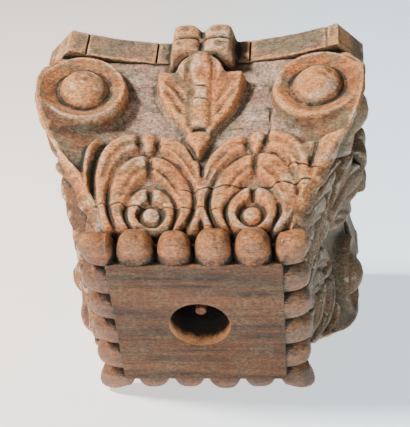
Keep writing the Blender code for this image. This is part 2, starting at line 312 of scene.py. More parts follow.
# %% [markdown]
# ### The nest of leaves
# The rings are laid from the inside out. Each keeps a floor of its own height, so that the leaf
# outside it always starts from a step, and a cut vein runs up the middle of each but the first.

# %% Medallion heights


def medallion(x, z, axis_at, lean, rings, seed):
    """Height of one nest of leaves with its button, and of the bud above it."""
    axis = axis_at + lean * (z - BUTTON_AT)
    away = np.abs(x - axis + 0.012 * rough(x, z, 0.22, seed))
    height = np.zeros_like(x)
    for number, (outer_line, inner_line) in enumerate(RING_LINES[:rings]):
        outside = level(away, z, outer_line)
        inside = level(away, z, inner_line)
        across = np.clip((inside - 1) / np.maximum((inside - 1) + (1 - outside), 1e-6), 0.0, 1.0)
        flank = ramp(across + 0.02, FLANK_WIDTH)
        top = 1 - TOP_FALL * np.clip((across - 0.55) / 0.45, 0, 1) ** 2
        edge = ramp((1 - outside) * outer_line[1], EDGE_WIDTH)
        widest, rise, gap = outer_line[0], outer_line[2], outer_line[4]
        tip = ramp(away - gap, 0.05) ** 0.6
        tip = np.where(z > inner_line[0] + 0.2 * inner_line[2], tip, 1.0)
        grown = (z - widest) / rise
        cut = groove(across - LEAF_VEIN_AT, LEAF_VEIN_HALF)
        cut = cut * ramp(grown - 0.02, 0.25) * ramp(0.90 - grown, 0.12)
        floor = RING_FLOOR if number < 3 else 0.0
        ring = LEAF_PROUD * (floor + (1 - floor) * flank * tip) * top * edge
        ring = ring - LEAF_VEIN_DEPTH * cut * (number > 0) * edge
        height = np.maximum(height, np.where(inside > 1, ring, LEAF_PROUD * floor * edge))
    button = np.clip(1 - (np.hypot(away, z - BUTTON_AT) / BUTTON_RADIUS) ** 2.4, 0, 1)
    height = np.maximum(height, LEAF_PROUD * np.sqrt(button))
    share, on_bud = upright_leaf(away, z, SIDE_BUD)
    return np.maximum(height, LEAF_PROUD * 0.95 * on_bud * (1 - 0.3 * share ** 2))


print("height at the button:", float(medallion(np.array(0.0), np.array(BUTTON_AT), 0.0, 0.0, 4, 0)))

# %% [markdown]
# ## Palm
# A palm leaf climbs the middle of each side and stands further out the higher it gets. It has a
# ridged rib, a crown with an oval leaf in it, and a lobe on each hand with two veins.

# %% Palm lines
PALM_CROWN = np.array(((2.16, 0.00, 0.10), (2.28, 0.00, 0.12), (2.34, 0.00, 0.20), (2.40, 0.00, 0.28),
                       (2.46, 0.00, 0.325), (2.53, 0.00, 0.31), (2.59, 0.00, 0.26), (2.64, 0.00, 0.18),
                       (2.67, 0.00, 0.11), (2.69, 0.00, 0.05)))
CROWN_OVAL = np.array(((2.22, 0.00, 0.10), (2.33, 0.00, 0.143), (2.44, 0.00, 0.170), (2.54, 0.00, 0.155),
                       (2.62, 0.00, 0.10)))
CROWN_REACH = np.array(((2.10, 0.13), (2.27, 0.19), (2.40, 0.25), (2.50, 0.30), (2.60, 0.33),
                        (2.66, 0.33)))
PALM_LOBE = np.array(((1.68, 0.05, 0.14), (1.75, 0.05, 0.20), (1.87, 0.05, 0.305), (2.01, 0.05, 0.425),
                      (2.20, 0.05, 0.505), (2.30, 0.05, 0.525), (2.42, 0.05, 0.545), (2.47, 0.05, 0.545),
                      (2.50, 0.05, 0.50)))
LOBE_VEINS = (((1.92, 0.190), (1.99, 0.235), (2.12, 0.320), (2.25, 0.455)),
              ((2.06, 0.180), (2.14, 0.215), (2.24, 0.290), (2.36, 0.420)))
RIB_HALF = 0.100
RIB_FOOT = 1.735
LOBE_TOP = 2.46
MIDDLE_BUD = np.array(((1.34, 0.00, 0.015), (1.44, 0.00, 0.07), (1.55, 0.00, 0.13), (1.64, 0.00, 0.17),
                       (1.70, 0.00, 0.165), (1.73, 0.00, 0.10)))
BUD_MOAT = 0.045
PALM_VEIN_HALF = 0.023
PALM_VEIN_DEPTH = 0.0046
OVAL_LINE_HALF = 0.026
LOBE_FLOOR = 0.48
RIB_LINE_DEPTH = 0.0024
RIB_LINE_HALF = 0.022
RIDGE = 0.0022
RIDGE_FALL = 0.0014

print("palm is", round((PALM_CROWN[-1, 0] - MIDDLE_BUD[0, 0]) * UNIT, 3), "m tall with its bud")

# %% [markdown]
# ### The palm's height
# The lobes come first, then the crown that curls out over them, then the rib that runs through
# both, and last the bud at the foot with a hollow cut round it.

# %% Palm heights


def palm(x, z, seed):
    """Height of the palm with its veins, crown, rib and the bud at its foot."""
    x = x + 0.010 * rough(x, z, 0.25, seed)
    away = np.abs(x)
    grown = np.clip((z - RIB_FOOT) / (LOBE_TOP - RIB_FOOT), 0.0, 1.0)
    proud = PALM_PROUD + PALM_GROWTH * grown
    share, on_lobe = upright_leaf(away, z, PALM_LOBE, 0.035)
    lobe = proud * (0.82 + 0.18 * ramp(share, 0.8)) * on_lobe
    for vein in np.array(LOBE_VEINS):
        on_vein = ramp(z - vein[0, 0], 0.06) * ramp(vein[-1, 0] - z, 0.05)
        off_vein = away - np.interp(z, vein[:, 0], vein[:, 1])
        lobe = lobe - PALM_VEIN_DEPTH * groove(off_vein, PALM_VEIN_HALF) * on_vein
    lobe = np.maximum(lobe, LOBE_FLOOR * proud * on_lobe)
    share, on_crown = upright_leaf(away, z, PALM_CROWN, 0.02)
    curl = UNIT * np.interp(z, CROWN_REACH[:, 0], CROWN_REACH[:, 1])
    crown = curl * (1.0 - 0.14 * share ** 2) * on_crown ** 0.5
    oval_edge = np.interp(z, CROWN_OVAL[:, 0], CROWN_OVAL[:, 2])
    on_oval = ramp(z - CROWN_OVAL[0, 0], 0.05) * ramp(CROWN_OVAL[-1, 0] - z, 0.02)
    crown = crown - PALM_VEIN_DEPTH * groove(away - oval_edge, OVAL_LINE_HALF) * on_oval
    height = np.maximum(lobe, crown)
    on_rib = ramp(z - RIB_FOOT, 0.05) * ramp(PALM_CROWN[-1, 0] - z, 0.03)
    stem = np.maximum(proud, curl * (z > CROWN_REACH[0, 0]))
    ridge = RIDGE - RIDGE_FALL * ramp(z - 2.20, 0.12)
    rib = (stem + ridge * (1 - away / RIB_HALF)) * on_rib * (away < RIB_HALF)
    rib_line = RIB_LINE_DEPTH * groove(away - RIB_HALF - 0.015, RIB_LINE_HALF) * on_rib
    height = height - rib_line * (height > 0.003) * (z < 2.25)
    height = np.maximum(height, rib)
    share, on_bud = upright_leaf(away, z, MIDDLE_BUD)
    bud = LEAF_PROUD * 1.05 * (1 - 0.45 * share ** 1.4) * np.sqrt(on_bud)
    return np.maximum(height, bud)


def bud_moat(x, z):
    """1 in the hollow that is cut round the bud at the foot of the palm."""
    edge = np.interp(z, MIDDLE_BUD[:, 0], MIDDLE_BUD[:, 2])
    near = ramp(edge + BUD_MOAT - np.abs(x), 0.03)
    return near * ramp(z - MIDDLE_BUD[0, 0] + 0.06, 0.06) * ramp(MIDDLE_BUD[-1, 0] + 0.04 - z, 0.04)


print("height on the rib:", round(float(palm(np.array(0.0), np.array(2.0), 0)), 4), "m")

# %% [markdown]
# ## Corner leaves
# Outside the rings, short leaves fan out to the corner of the bell. The right corner of the front
# has more of them than the others, so the front has a table of its own.

# %% Corner leaf heights
CORNER_LEAF = np.array(((0.58, 1.10, 1.17), (0.80, 1.15, 1.27), (1.06, 1.30, 1.47), (1.34, 1.66, 1.76)))
FAN_LEAVES = (
    np.array(((1.10, 1.04, 1.10), (1.25, 0.99, 1.18), (1.45, 0.90, 1.18), (1.60, 0.86, 1.10))),
    np.array(((0.62, 1.00, 1.08), (0.90, 1.07, 1.17), (1.10, 1.12, 1.28), (1.25, 1.15, 1.36),
              (1.44, 1.18, 1.39))),
    np.array(((0.46, 1.04, 1.30), (0.70, 1.08, 1.36), (0.90, 1.17, 1.46), (1.10, 1.30, 1.60),
              (1.25, 1.37, 1.75), (1.40, 1.42, 1.90), (1.47, 1.52, 1.95))),
)
FAN_BED = np.array(((0.42, 1.02), (0.90, 1.04), (1.10, 1.08), (1.44, 1.16)))


def corner_leaves(x, z, side):
    """Height of the short leaves at both ends of a side."""
    height = np.zeros_like(x)
    for hand in (-1, 1):
        fanned = side == 0 and hand == 1
        for edges in FAN_LEAVES if fanned else (CORNER_LEAF,):
            share, on_leaf = upright_leaf(hand * x, z, edges, 0.08)
            leaf = LEAF_PROUD * 0.62 * on_leaf * (1 - 0.25 * (2 * np.clip(share, 0, 1) - 1) ** 2)
            height = np.maximum(height, leaf)
        if fanned:
            bed = ramp(x - np.interp(z, FAN_BED[:, 0], FAN_BED[:, 1]), 0.04)
            bed = bed * ramp(z - FAN_BED[0, 0], 0.1) * ramp(FAN_BED[-1, 0] - z, 0.05)
            height = np.maximum(height, LEAF_PROUD * 0.18 * bed)
    return height


print("corner leaves:", len(FAN_LEAVES), "at the right of the front, 1 at each other end of a side")

# %% [markdown]
# ## Scrolls
# Each scroll is a thick round disc with a narrow raised edge, a dish that slopes in to a domed
# eye, and a broken stub on the dome. A strap runs from it along the foot of the abacus.

# %% Scroll reach
DISH_DEPTH = 0.0070
DISH_FROM = 0.90
DOME_RADIUS = 0.56
DOME_HEIGHT = 0.0185
DOME_MOAT = 0.0014
EDGE_BEAD = 0.0011
EDGE_BEAD_AT = 0.955
WALL = 0.0046
STRAP_DROP = 0.0125
STRAP_PROUD = 0.0018
STUB_DEPTH = 0.0026
RIM_CHIP = (0.1060, 0.1400)
RIM_CHIP_DEPTH = 0.0040


def scrolls(x, z, side):
    """Reach of the scroll discs, and how surely a place lies on one."""
    centre_x = ABACUS_HALF - SCROLL_RADIUS - WORN_EDGE
    centre_z = ABACUS_FOOT - SCROLL_DROP
    off_x, off_z = np.abs(x) - centre_x, z - centre_z
    hand = np.where(x > 0, 1.0, 0.0)
    radius = np.hypot(off_x, off_z) / SCROLL_RADIUS
    radius = radius + 0.012 * rough(x, z, 0.03, 31 + side)
    dish = -DISH_DEPTH * np.clip((DISH_FROM - radius) / (DISH_FROM - DOME_RADIUS), 0.0, 1.0) ** 0.8
    edge = EDGE_BEAD * groove(radius - EDGE_BEAD_AT, 0.028)
    foot = -DOME_MOAT * groove(radius - DOME_RADIUS, 0.035)
    dome = DOME_HEIGHT * np.clip(1 - (radius / DOME_RADIUS) ** 2, 0.0, 1.0) ** 0.9
    stub_x = off_x / SCROLL_RADIUS + 0.03 - 0.16 * hand
    stub = np.hypot(stub_x, off_z / SCROLL_RADIUS - 0.12)
    broken = -STUB_DEPTH * groove(stub - 0.15, 0.06) * (0.55 + 0.45 * rough(x, z, 0.004, 33 + side))
    broken = broken + 0.0012 * groove(stub, 0.10) * rough(x, z, 0.0025, 35 + side)
    if side == 0:
        gone = np.hypot(x - RIM_CHIP[0], z - RIM_CHIP[1])
        broken = broken - RIM_CHIP_DEPTH * groove(gone, 0.0040) * (1 + 0.5 * rough(x, z, 0.003, 37))
    plane = SCROLL_REACH + SCROLL_TURN * off_x + SCROLL_LEAN * off_z
    return plane + dish + edge + foot + dome + broken, ramp(1.0 - radius, WALL / SCROLL_RADIUS)


def strap(x, z):
    """Raised band under the abacus between the two scrolls."""
    out = np.abs(x) / UNIT
    foot = ABACUS_FOOT - STRAP_DROP * ramp(out - 0.50, 0.5)
    return STRAP_PROUD * ramp(z - foot, 0.0018) * ramp(out - 0.52, 0.12)


print("scroll discs are", 2 * SCROLL_RADIUS, "m across")

# %% [markdown]
# ## Flower block
# The block in the middle of the abacus is notched into four petals with a small knob where they
# meet. A band under it is painted darker, as the shade under the block.

# %% Flower reach
PETAL_ROUNDING = 0.010
PETAL_SQUARENESS = 3.2
FLOWER_NOTCH = 0.010


def flower(x, z, side):
    """Reach of the flower block, and how surely a place lies on it."""
    half, foot = FLOWER_WIDTH / 2, HEIGHT - FLOWER_HEIGHT
    row = FLOWER_HEIGHT / 2
    off_x = (np.abs(x) - half / 2) / (half / 2)
    off_z = np.mod(z - foot, row) / row * 2 - 1
    low_end = (z < foot + row / 2) * 0.55
    off_z = off_z * (1 - low_end)
    filled = np.abs(off_x) ** PETAL_SQUARENESS, np.abs(off_z) ** PETAL_SQUARENESS
    inside = np.clip(1 - filled[0] - filled[1], 0.0, 1.0)
    petals = PETAL_ROUNDING * (inside ** 0.5 - 1)
    knob = 0.007 * groove(np.hypot(x, z - foot - row), 0.0045)
    notch = -FLOWER_NOTCH * np.clip(1 - np.abs(x) / 0.009, 0, 1) * ramp(z - (HEIGHT - 0.012), 0.012)
    on_block = ramp(half - np.abs(x), 0.0024) * ramp(z - foot + 0.001, 0.003)
    worn = 0.0007 * rough(x, z, 0.006, 41 + side)
    return ABACUS_MIDDLE + FLOWER_PROUD - 0.0008 + petals + knob * 0.6 + notch + worn, on_block


print("flower blocks stand out", FLOWER_PROUD, "m")

# %% [markdown]
# ## Age
# Old timber opens along its grain. The grain of this block runs from left to right of the front,
# so its cracks run that way too. Saw cuts in the abacus mark the carver's setting out.

# %% Lines of the cracks and cuts
CRACKS_FRONT = (
    ((-1.25, 0.735), (-1.03, 0.714), (-0.865, 0.729), (-0.79, 0.70), (-0.534, 0.68), (-0.22, 0.65),
     (0.125, 0.66)),
    ((-0.21, 0.875), (-0.12, 0.89), (-0.008, 0.872), (0.16, 0.926), (0.365, 0.945), (0.46, 0.922),
     (0.58, 0.947), (0.65, 0.885), (0.74, 0.938), (0.885, 0.907), (0.95, 0.956), (1.127, 0.912),
     (1.21, 0.944), (1.40, 0.954)),
    ((1.04, 1.13), (1.08, 1.158), (1.15, 1.15), (1.224, 1.112), (1.475, 1.07)),
    ((-0.915, 0.42), (-0.726, 0.40)),
    ((0.058, 0.664), (0.28, 0.638)),
    ((0.335, 1.785), (0.548, 1.829), (0.60, 1.787)),
    ((-0.10, 2.29), (0.12, 2.275)),
    ((-0.10, 2.12), (0.12, 2.115)),
)
CRACKS_OTHER = (
    ((-1.2, 0.86), (-0.7, 0.84), (-0.3, 0.88), (0.1, 0.85)),
    ((0.3, 1.12), (0.7, 1.10), (1.2, 1.14)),
    ((-0.9, 0.60), (-0.45, 0.61)),
)
UPRIGHT_CRACK = np.array(((1.516, 0.820), (1.80, 0.838), (2.10, 0.848), (2.365, 0.863))) * UNIT
CRACK_HALF = 0.0007
CRACK_DEPTH = 0.0022
KERFS = (-1.45, -0.585, 0.585, 1.53)
KERF_SLIP = 0.01
KERF_HALF = 0.0006
KERF_DEPTH = 0.003

print("cracks:", len(CRACKS_FRONT) + 1, "on the front,", len(CRACKS_OTHER), "on each other side")

# %% [markdown]
# ### Crack and cut masks
# A crack follows its line with a small random waver, and fades out at both ends. The one upright
# crack of the front runs through the ground beside the right scroll.

# %% Masks of the cracks and cuts


def crack_mask(x, z, side):
    """1 along the cracks of a side."""
    lines = CRACKS_FRONT if side == 0 else CRACKS_OTHER
    mask = np.zeros_like(x)
    for line in np.array(lines, dtype=object):
        line = np.array([list(p) for p in line], dtype=float) * UNIT
        middle = np.interp(x, line[:, 0], line[:, 1]) + 0.0004 * rough(x, z, 0.004, 51)
        along = ramp(x - line[0, 0], 0.004) * ramp(line[-1, 0] - x, 0.004)
        mask = np.maximum(mask, groove(z - middle, CRACK_HALF) * along)
    if side == 0:
        middle = np.interp(z, UPRIGHT_CRACK[:, 0], UPRIGHT_CRACK[:, 1]) + 0.0006 * rough(x, z, 0.006, 53)
        along = ramp(z - UPRIGHT_CRACK[0, 0], 0.004) * ramp(UPRIGHT_CRACK[-1, 0] - z, 0.004)
        mask = np.maximum(mask, groove(x - middle, 1.3 * CRACK_HALF) * along)
    return mask


def kerf_mask(x, z, side):
    """1 along the upright saw cuts in the abacus, which slip a little from side to side."""
    mask = np.zeros_like(x)
    on_band = ramp(z - ABACUS_FOOT + 0.001, 0.002)
    for place in KERFS:
        mask = np.maximum(mask, groove(x - (place + KERF_SLIP * side) * UNIT, KERF_HALF) * on_band)
    return mask


print("saw cuts:", len(KERFS), "in the abacus of each side")

# %% [markdown]
# ## Plain sides and neck
# Before any carving each side is a plain hollow. One side of this block stayed fuller than the
# others, so its outline swells there, and the neck is cut back above its lip to give the beads a
# bed.

# %% Reach of a plain side and of the neck
LEFT_SIDE = 3
BELLY = 0.015
BELLY_TOP = 0.13
LIP_WEAR = 0.0003


def plain_reach(x, z, section, side):
    """How far the uncarved side stands from the axis of the block."""
    middle, corner, cut = section
    share = np.clip(np.abs(x) / (corner - cut), 0.0, 1.0)
    plain = middle + (corner - middle) * share ** HOLLOW_POWER
    if side == LEFT_SIDE:
        belly = BELLY * ramp(z - BELL_FOOT, 0.010) * ramp(BELLY_TOP - z, 0.06) * ramp(1 - share, 0.15)
        plain = plain + belly
    return plain


def neck_reach(x, z, plain, side):
    """The lip, the rebate above it and the beads that fill the rebate."""
    lip = z <= NECK_LIP
    reach = np.maximum(plain - NECK_REBATE * ~lip, NECK_HALF - NECK_REBATE + beads(x, z, side))
    return reach - LIP_WEAR * (1 + rough(x, z, 0.005, 61 + side)) * lip


print("the left side swells by", BELLY, "m")

# %% [markdown]
# ## Leaf work of a side
# Two medallions, the palm between them and the leaves at the corners share a side. A point takes
# the highest of them, so one leaf seems to lie over another, and a thin seam parts the medallions.

# %% Height of the leaf work
SEAM_HALF = 0.02
SEAM_DEPTH = 0.004
MOAT_SHARE = 0.75


def leaf_height(x, z, side):
    """How high the leaves of a side stand out of its plain reach."""
    across, upward = x / UNIT, z / UNIT
    axes, rings = (AXES_FRONT, RINGS_FRONT) if side == 0 else (AXES_OTHER, RINGS_OTHER)
    middle_line = sum(place + lean * (upward - BUTTON_AT) for place, lean in axes) / 2
    left, right = (
        medallion(across, upward, *axes[number], rings[number], 81 + 4 * side + number)
        for number in (0, 1)
    )
    height = np.where(across < middle_line, left, right)
    seam = groove(across - middle_line, SEAM_HALF) * ramp(upward - 1.0, 0.1)
    seam = seam * (upward < MIDDLE_BUD[1, 0])
    height = height * (1 - MOAT_SHARE * bud_moat(across, upward)) - SEAM_DEPTH * seam
    height = np.maximum(np.maximum(height, 0.0), palm(across, upward, 71 + side))
    return np.maximum(height, corner_leaves(across, upward, side))


print("leaves stand out", LEAF_PROUD, "m and the palm", PALM_PROUD, "to", PALM_PROUD + PALM_GROWTH, "m")

# %% [markdown]
# ## What counts as raised
# The colours need to know how high a place is carved, because only what stands out is worn warm.
# Leaves count by their height, the discs and flower blocks by a number of their own, and the plain
# outer ends, the walls of the discs and a band under each flower block, which is painted shade,
# count as hollow.

# %% Raised mark
PLAIN_FROM = 0.092
PLAIN_FADE = 0.020
LEAF_FLOOR = 0.002
WALL_MARK = -0.8
FLOWER_MARK = 0.35
SHADE_UNDER_FLOWER_HALF = 0.0038


def raised_mark(x, z, leaves, on_disc, on_block, below):
    """How high a place is carved, for the colours; below 0 for what stays plain or dark."""
    outer = ramp(np.abs(x) - PLAIN_FROM, PLAIN_FADE) * below
    raised = np.where(leaves > LEAF_FLOOR, leaves, -LEAF_PROUD * outer)
    raised = np.where(on_disc * below > 0.05, WALL_MARK * LEAF_PROUD, raised)
    raised = np.where(on_disc * below > 0.9, LEAF_PROUD, raised)
    raised = np.where(on_block > 0, FLOWER_MARK * LEAF_PROUD, raised)
    # Painted shade: a band under each flower block is marked hollow, so it is coloured a dark plain
    # brown.
    from_foot = np.abs(z - (HEIGHT - FLOWER_HEIGHT))
    shade_under_flower = (np.abs(x) < FLOWER_WIDTH / 2 + 0.001) * (from_foot < SHADE_UNDER_FLOWER_HALF)
    return np.where(shade_under_flower > 0, -LEAF_PROUD, raised)


print("plain from", PLAIN_FROM, "m out of the middle")

# %% [markdown]
# ## Putting the heights together
# For each point of a side the block gives the plain reach, and the ornament is laid over it.
# Small random hills take away the smoothness that only a machine would leave, and the cracks are
# cut last, so that they stay sharp.

# %% Reach of a carved side
FOOT_ROUNDING = 0.009
FOOT_TUCK = 0.014
GROUND_HILLS = ((0.0004, 0.004, 91), (0.0003, 0.0022, 95))
HAND_HILLS = ((0.00035, 0.011, 101), (0.0002, 0.0045, 105))


def carved_reach(x, z, section, on_neck, side):
    """How far each point of a side stands from the axis, and its raised mark."""
    plain = plain_reach(x, z, section, side)
    if on_neck:
        return neck_reach(x, z, plain, side), np.zeros_like(plain)
    below = z < ABACUS_FOOT - 1e-6
    height = leaf_height(x, z, side)
    leaves = np.where(below, height, 0.0)
    reach = plain + np.where(below, np.maximum(height, strap(x, z)), 0.0)
    foot = np.clip((z - BELL_FOOT) / FOOT_ROUNDING, 0.0, 1.0)
    reach = reach - FOOT_TUCK * (1 - np.sqrt(1 - (1 - foot) ** 2))
    ground = ramp(LEAF_FLOOR - leaves, LEAF_FLOOR) * below
    coarse, fine = (high * rough(x, z, size, seed + side) for high, size, seed in GROUND_HILLS)
    reach = reach + ground * (coarse + fine)
    disc, on_disc = scrolls(x, z, side)
    reach = reach + (disc - reach) * on_disc * below
    block, on_block = flower(x, z, side)
    reach = np.maximum(reach, (plain + (block - plain) * on_block) * (on_block > 0))
    coarse, fine = (high * rough(x, z, size, seed + side) for high, size, seed in HAND_HILLS)
    reach = soften(soften(reach) + coarse + fine)
    reach = reach - CRACK_DEPTH * crack_mask(x, z, side) * (z < 0.9 * ABACUS_FOOT)
    reach = reach - KERF_DEPTH * kerf_mask(x, z, side)
    return reach, raised_mark(x, z, leaves, on_disc, on_block, below)


print("random hills from", HAND_HILLS[0][1], "m down to", GROUND_HILLS[1][1], "m apart")

# %% [markdown]
# ## The grid
# The four sides are joined into one ring of points at each height. The rows lie closer together
# on the lower bell, where the leaves are finest, than under the abacus.

# %% Rows of the grid
SIDE_COLUMNS = 200
HORN_COLUMNS = 12
FINE_UP_TO = 1.70 * UNIT


def evenly(low, high, step):
    """Heights from low to high, about one step apart."""
    return np.linspace(low, high, round((high - low) / step) + 1)


def rows():
    """Heights of the rows with the section they follow; close together where the carving is fine."""
    neck = np.concatenate(([0.0, 0.0005, 0.001], evenly(BEAD_FOOT, BELL_FOOT, 0.0010)))
    low_bell = evenly(BELL_FOOT, FINE_UP_TO, 0.0009)[:-1]
    bell = np.concatenate((low_bell, evenly(FINE_UP_TO, ABACUS_FOOT, 0.0011)))
    abacus = np.concatenate((evenly(ABACUS_FOOT, HEIGHT - 0.0016, 0.0012), [HEIGHT - 0.0008, HEIGHT]))
    return ((neck, neck_section), (bell, bell_section), (abacus, abacus_section))


print("rows:", [len(levels) for levels, _ in rows()], "on the neck, the bell and the abacus")

# %% [markdown]
# ## Round the corners
# Two neighbouring sides rarely end at quite the same reach, so the columns between them run in a
# straight line from one to the other. On the neck that line is swollen into a bead, and on the
# abacus a double line is cut into it, as on the flat ends of the real horns.

# %% Wrap the sides round the block
HORN_LINE_DEPTH = 0.0009
HORN_LINES = (0.10, 0.86)


def horn_groove(z, share):
    """Double line cut into the flat end of each horn of the abacus."""
    lines = groove(z - ABACUS_FOOT - 0.0065, 0.0009)
    lines = lines + groove(share - HORN_LINES[1], 0.02) + groove(share - HORN_LINES[0], 0.02)
    return HORN_LINE_DEPTH * np.clip(lines, 0, 1) * (z > ABACUS_FOOT + 0.001)


def band_points(levels, section_of):
    """Points of one part of the block, row by row, once round; and how high each is carved."""
    share = np.arange(1, HORN_COLUMNS) / HORN_COLUMNS
    angle = share * math.pi / 2
    fan = np.stack((np.sin(angle), -np.cos(angle)), axis=-1)[None, :, :]
    on_neck = section_of is neck_section
    u = np.linspace(-1.0, 1.0, SIDE_COLUMNS + 1)
    z = np.repeat(levels[:, None], len(u), axis=1)
    section = tuple(part[:, None] for part in section_of(levels))
    x = u[None, :] * (section[1] - section[2])
    sides = [carved_reach(x, z, section, on_neck, side) for side in range(4)]
    ring, ring_height = [], []
    for side, (reach, raised) in enumerate(sides):
        following = sides[(side + 1) % 4][0]
        swell = (reach[:, -1:] - section[1]) if on_neck else np.zeros_like(section[1])
        next_swell = (following[:, :1] - section[1]) if on_neck else swell
        start = np.stack((x[:, -1:], swell - reach[:, -1:]), axis=-1)
        end = np.stack((following[:, :1] - next_swell, x[:, :1]), axis=-1)
        out = swell * (1 + CORNER_BEAD_SWELL * np.sin(2 * angle)[None, :] ** 2)
        out = out - horn_groove(z[:, :1], share[None, :]) * (not on_neck)
        horn = start + (end - start) * share[None, :, None] + out[:, :, None] * fan
        horn_height = np.repeat(raised[:, -1:], horn.shape[1], axis=1)
        flat = np.concatenate((np.stack((x, -reach), axis=-1), horn), axis=1)
        c, s = round(math.cos(side * math.pi / 2)), round(math.sin(side * math.pi / 2))
        ring.append(flat @ np.array(((c, s), (-s, c))))
        ring_height.append(np.concatenate((raised, horn_height), axis=1))
    flat = np.concatenate(ring, axis=1)
    level_z = np.repeat(levels[:, None], flat.shape[1], axis=1)
    return np.concatenate((flat, level_z[:, :, None]), axis=2), np.concatenate(ring_height, axis=1)


bands = [band_points(levels, section_of) for levels, section_of in rows()]
grid, grid_height = (np.concatenate(part) for part in zip(*bands))
print("grid of", grid.shape[0], "rows and", grid.shape[1], "columns")

# %% [markdown]
# ## From grid to mesh
# A flat grid is added with a face for each gap between the points, and every vertex moves to its
# place, which wraps the sheet round the block. Its two upright edges then meet and are merged,
# and the flat top and bottom are filled. The grid is finer than the finished piece needs, so a
# Decimate modifier takes faces away where the skin is flat.

# %% Wrap a sheet round the block
SEAM_GAP = 1e-5


def select_none():
    """Deselect all objects, so that the next operator acts on its own piece alone."""
    for other in list(bpy.context.selected_objects):
        other.select_set(False)


def make_skin(name, points):
    """A flat grid with one vertex for each point, wrapped and closed."""
    row_count, column_count = points.shape[:2]
    select_none()
    bpy.ops.mesh.primitive_grid_add(x_subdivisions=column_count, y_subdivisions=row_count - 1, size=2.0)
    made = bpy.context.object
    made.name = name
    flat = np.empty(len(made.data.vertices) * 3)
    made.data.vertices.foreach_get("co", flat)
    flat = flat.reshape(-1, 3)
    column = np.round((flat[:, 0] + 1) / 2 * column_count).astype(int) % column_count
    row = np.round((flat[:, 1] + 1) / 2 * (row_count - 1)).astype(int)
    made.data.vertices.foreach_set("co", points[row, column].ravel())
    made.data.update()
    bpy.ops.object.mode_set(mode="EDIT")
    bpy.ops.mesh.select_all(action="DESELECT")
    bpy.ops.mesh.select_mode(type="VERT")
    bpy.ops.mesh.select_non_manifold(extend=False)
    bpy.ops.mesh.remove_doubles(threshold=SEAM_GAP)
    bpy.ops.mesh.select_all(action="DESELECT")
    bpy.ops.mesh.select_mode(type="EDGE")
    bpy.ops.mesh.select_non_manifold(extend=False)
    bpy.ops.mesh.edge_face_add()
    bpy.ops.mesh.select_all(action="SELECT")
    bpy.ops.mesh.normals_make_consistent(inside=False)
    bpy.ops.object.mode_set(mode="OBJECT")
    return made


capital = make_skin("carved_capital", grid)
print("wrapped skin:", len(capital.data.polygons), "faces")

# %% [markdown]
# ## Thinning
# An even grid spends as many faces on a flat place as on a leaf. The Decimate modifier joins
# faces where little changes and keeps them where the carving bends.

# %% Thin the skin where it is flat
SKIN_TRIANGLES = 188000


def apply_modifier(piece, kind, **settings):
    step = piece.modifiers.new(kind.lower(), kind)
    for key, value in settings.items():
        setattr(step, key, value)
    bpy.context.view_layer.objects.active = piece
    bpy.ops.object.modifier_apply(modifier=step.name)


def triangle_count(piece):
    return sum(len(face.vertices) - 2 for face in piece.data.polygons)


apply_modifier(capital, "DECIMATE", ratio=SKIN_TRIANGLES / triangle_count(capital))
for vertex in capital.data.vertices:
    vertex.co.z = min(max(vertex.co.z, 0.0), HEIGHT)
print("thinned skin:", triangle_count(capital), "triangles")

# %% [markdown]
# ## Socket
# A round socket is bored into the underside for the tenon of the column. Here a cylinder with a
# slightly wider mouth is taken out of the skin with a Boolean modifier, because a cutter keeps
# the wall clean where it meets the dense skin.

# %% Bore the socket
SOCKET_SIDES = 96
MOUTH_WEAR = 0.0012


def select_faces(piece, wanted):
    """In edit mode: only the faces for which wanted(centre, normal) is true are selected."""
    bpy.ops.mesh.select_mode(type="FACE")
    bpy.ops.mesh.select_all(action="DESELECT")
    bm = bmesh.from_edit_mesh(piece.data)
    for face in bm.faces:
        face.select = wanted(face.calc_center_median(), face.normal)
    bmesh.update_edit_mesh(piece.data)


def add_cylinder(name, radius, low, high, sides):
    select_none()
    middle = (0, 0, (low + high) / 2)
    bpy.ops.mesh.primitive_cylinder_add(vertices=sides, radius=radius, depth=high - low, location=middle)
    made = bpy.context.object
    made.name = name
    bpy.ops.object.transform_apply(location=True, rotation=True, scale=True)
    return made


cutter = add_cylinder("socket_cutter", SOCKET_RADIUS, MOUTH_WEAR, SOCKET_DEPTH, SOCKET_SIDES)
bpy.ops.object.mode_set(mode="EDIT")
select_faces(cutter, lambda centre, normal: normal.z < -0.9)
flare = 1 + MOUTH_WEAR / SOCKET_RADIUS
bpy.ops.mesh.extrude_region_move(TRANSFORM_OT_translate={"value": (0, 0, -MOUTH_WEAR)})
bpy.ops.transform.resize(value=(flare, flare, 1))
bpy.ops.mesh.extrude_region_move(TRANSFORM_OT_translate={"value": (0, 0, -SOCKET_DEPTH / 4)})
bpy.ops.object.mode_set(mode="OBJECT")
apply_modifier(capital, "BOOLEAN", operation="DIFFERENCE", solver="EXACT", object=cutter)
bpy.data.objects.remove(cutter, do_unlink=True)
print("with socket:", triangle_count(capital), "triangles")

# %% [markdown]
# ## Dowel
# A thin pin stands in the floor of the socket, left from an old fixing. It was turned, cut off by
# hand and a little bruised at its end, so its rim is bevelled and its end face sinks slightly.

# %% Make the dowel
DOWEL_ROOT = 0.016
DOWEL_SIDES = 48
DOWEL_RIM = 0.0007

dowel = add_cylinder("dowel_pin", DOWEL_RADIUS, DOWEL_END, SOCKET_DEPTH + DOWEL_ROOT, DOWEL_SIDES)
bpy.ops.object.mode_set(mode="EDIT")
select_faces(dowel, lambda centre, normal: normal.z < -0.9)
bpy.ops.mesh.bevel(offset=DOWEL_RIM, segments=3, affect="EDGES")
select_faces(dowel, lambda centre, normal: normal.z < -0.99)
bpy.ops.mesh.inset(thickness=0.0022)
bpy.ops.mesh.inset(thickness=0.0016)
bpy.ops.transform.translate(value=(0.0002, 0.0001, 0.0006))
bpy.ops.object.mode_set(mode="OBJECT")
print("dowel:", triangle_count(dowel), "triangles")

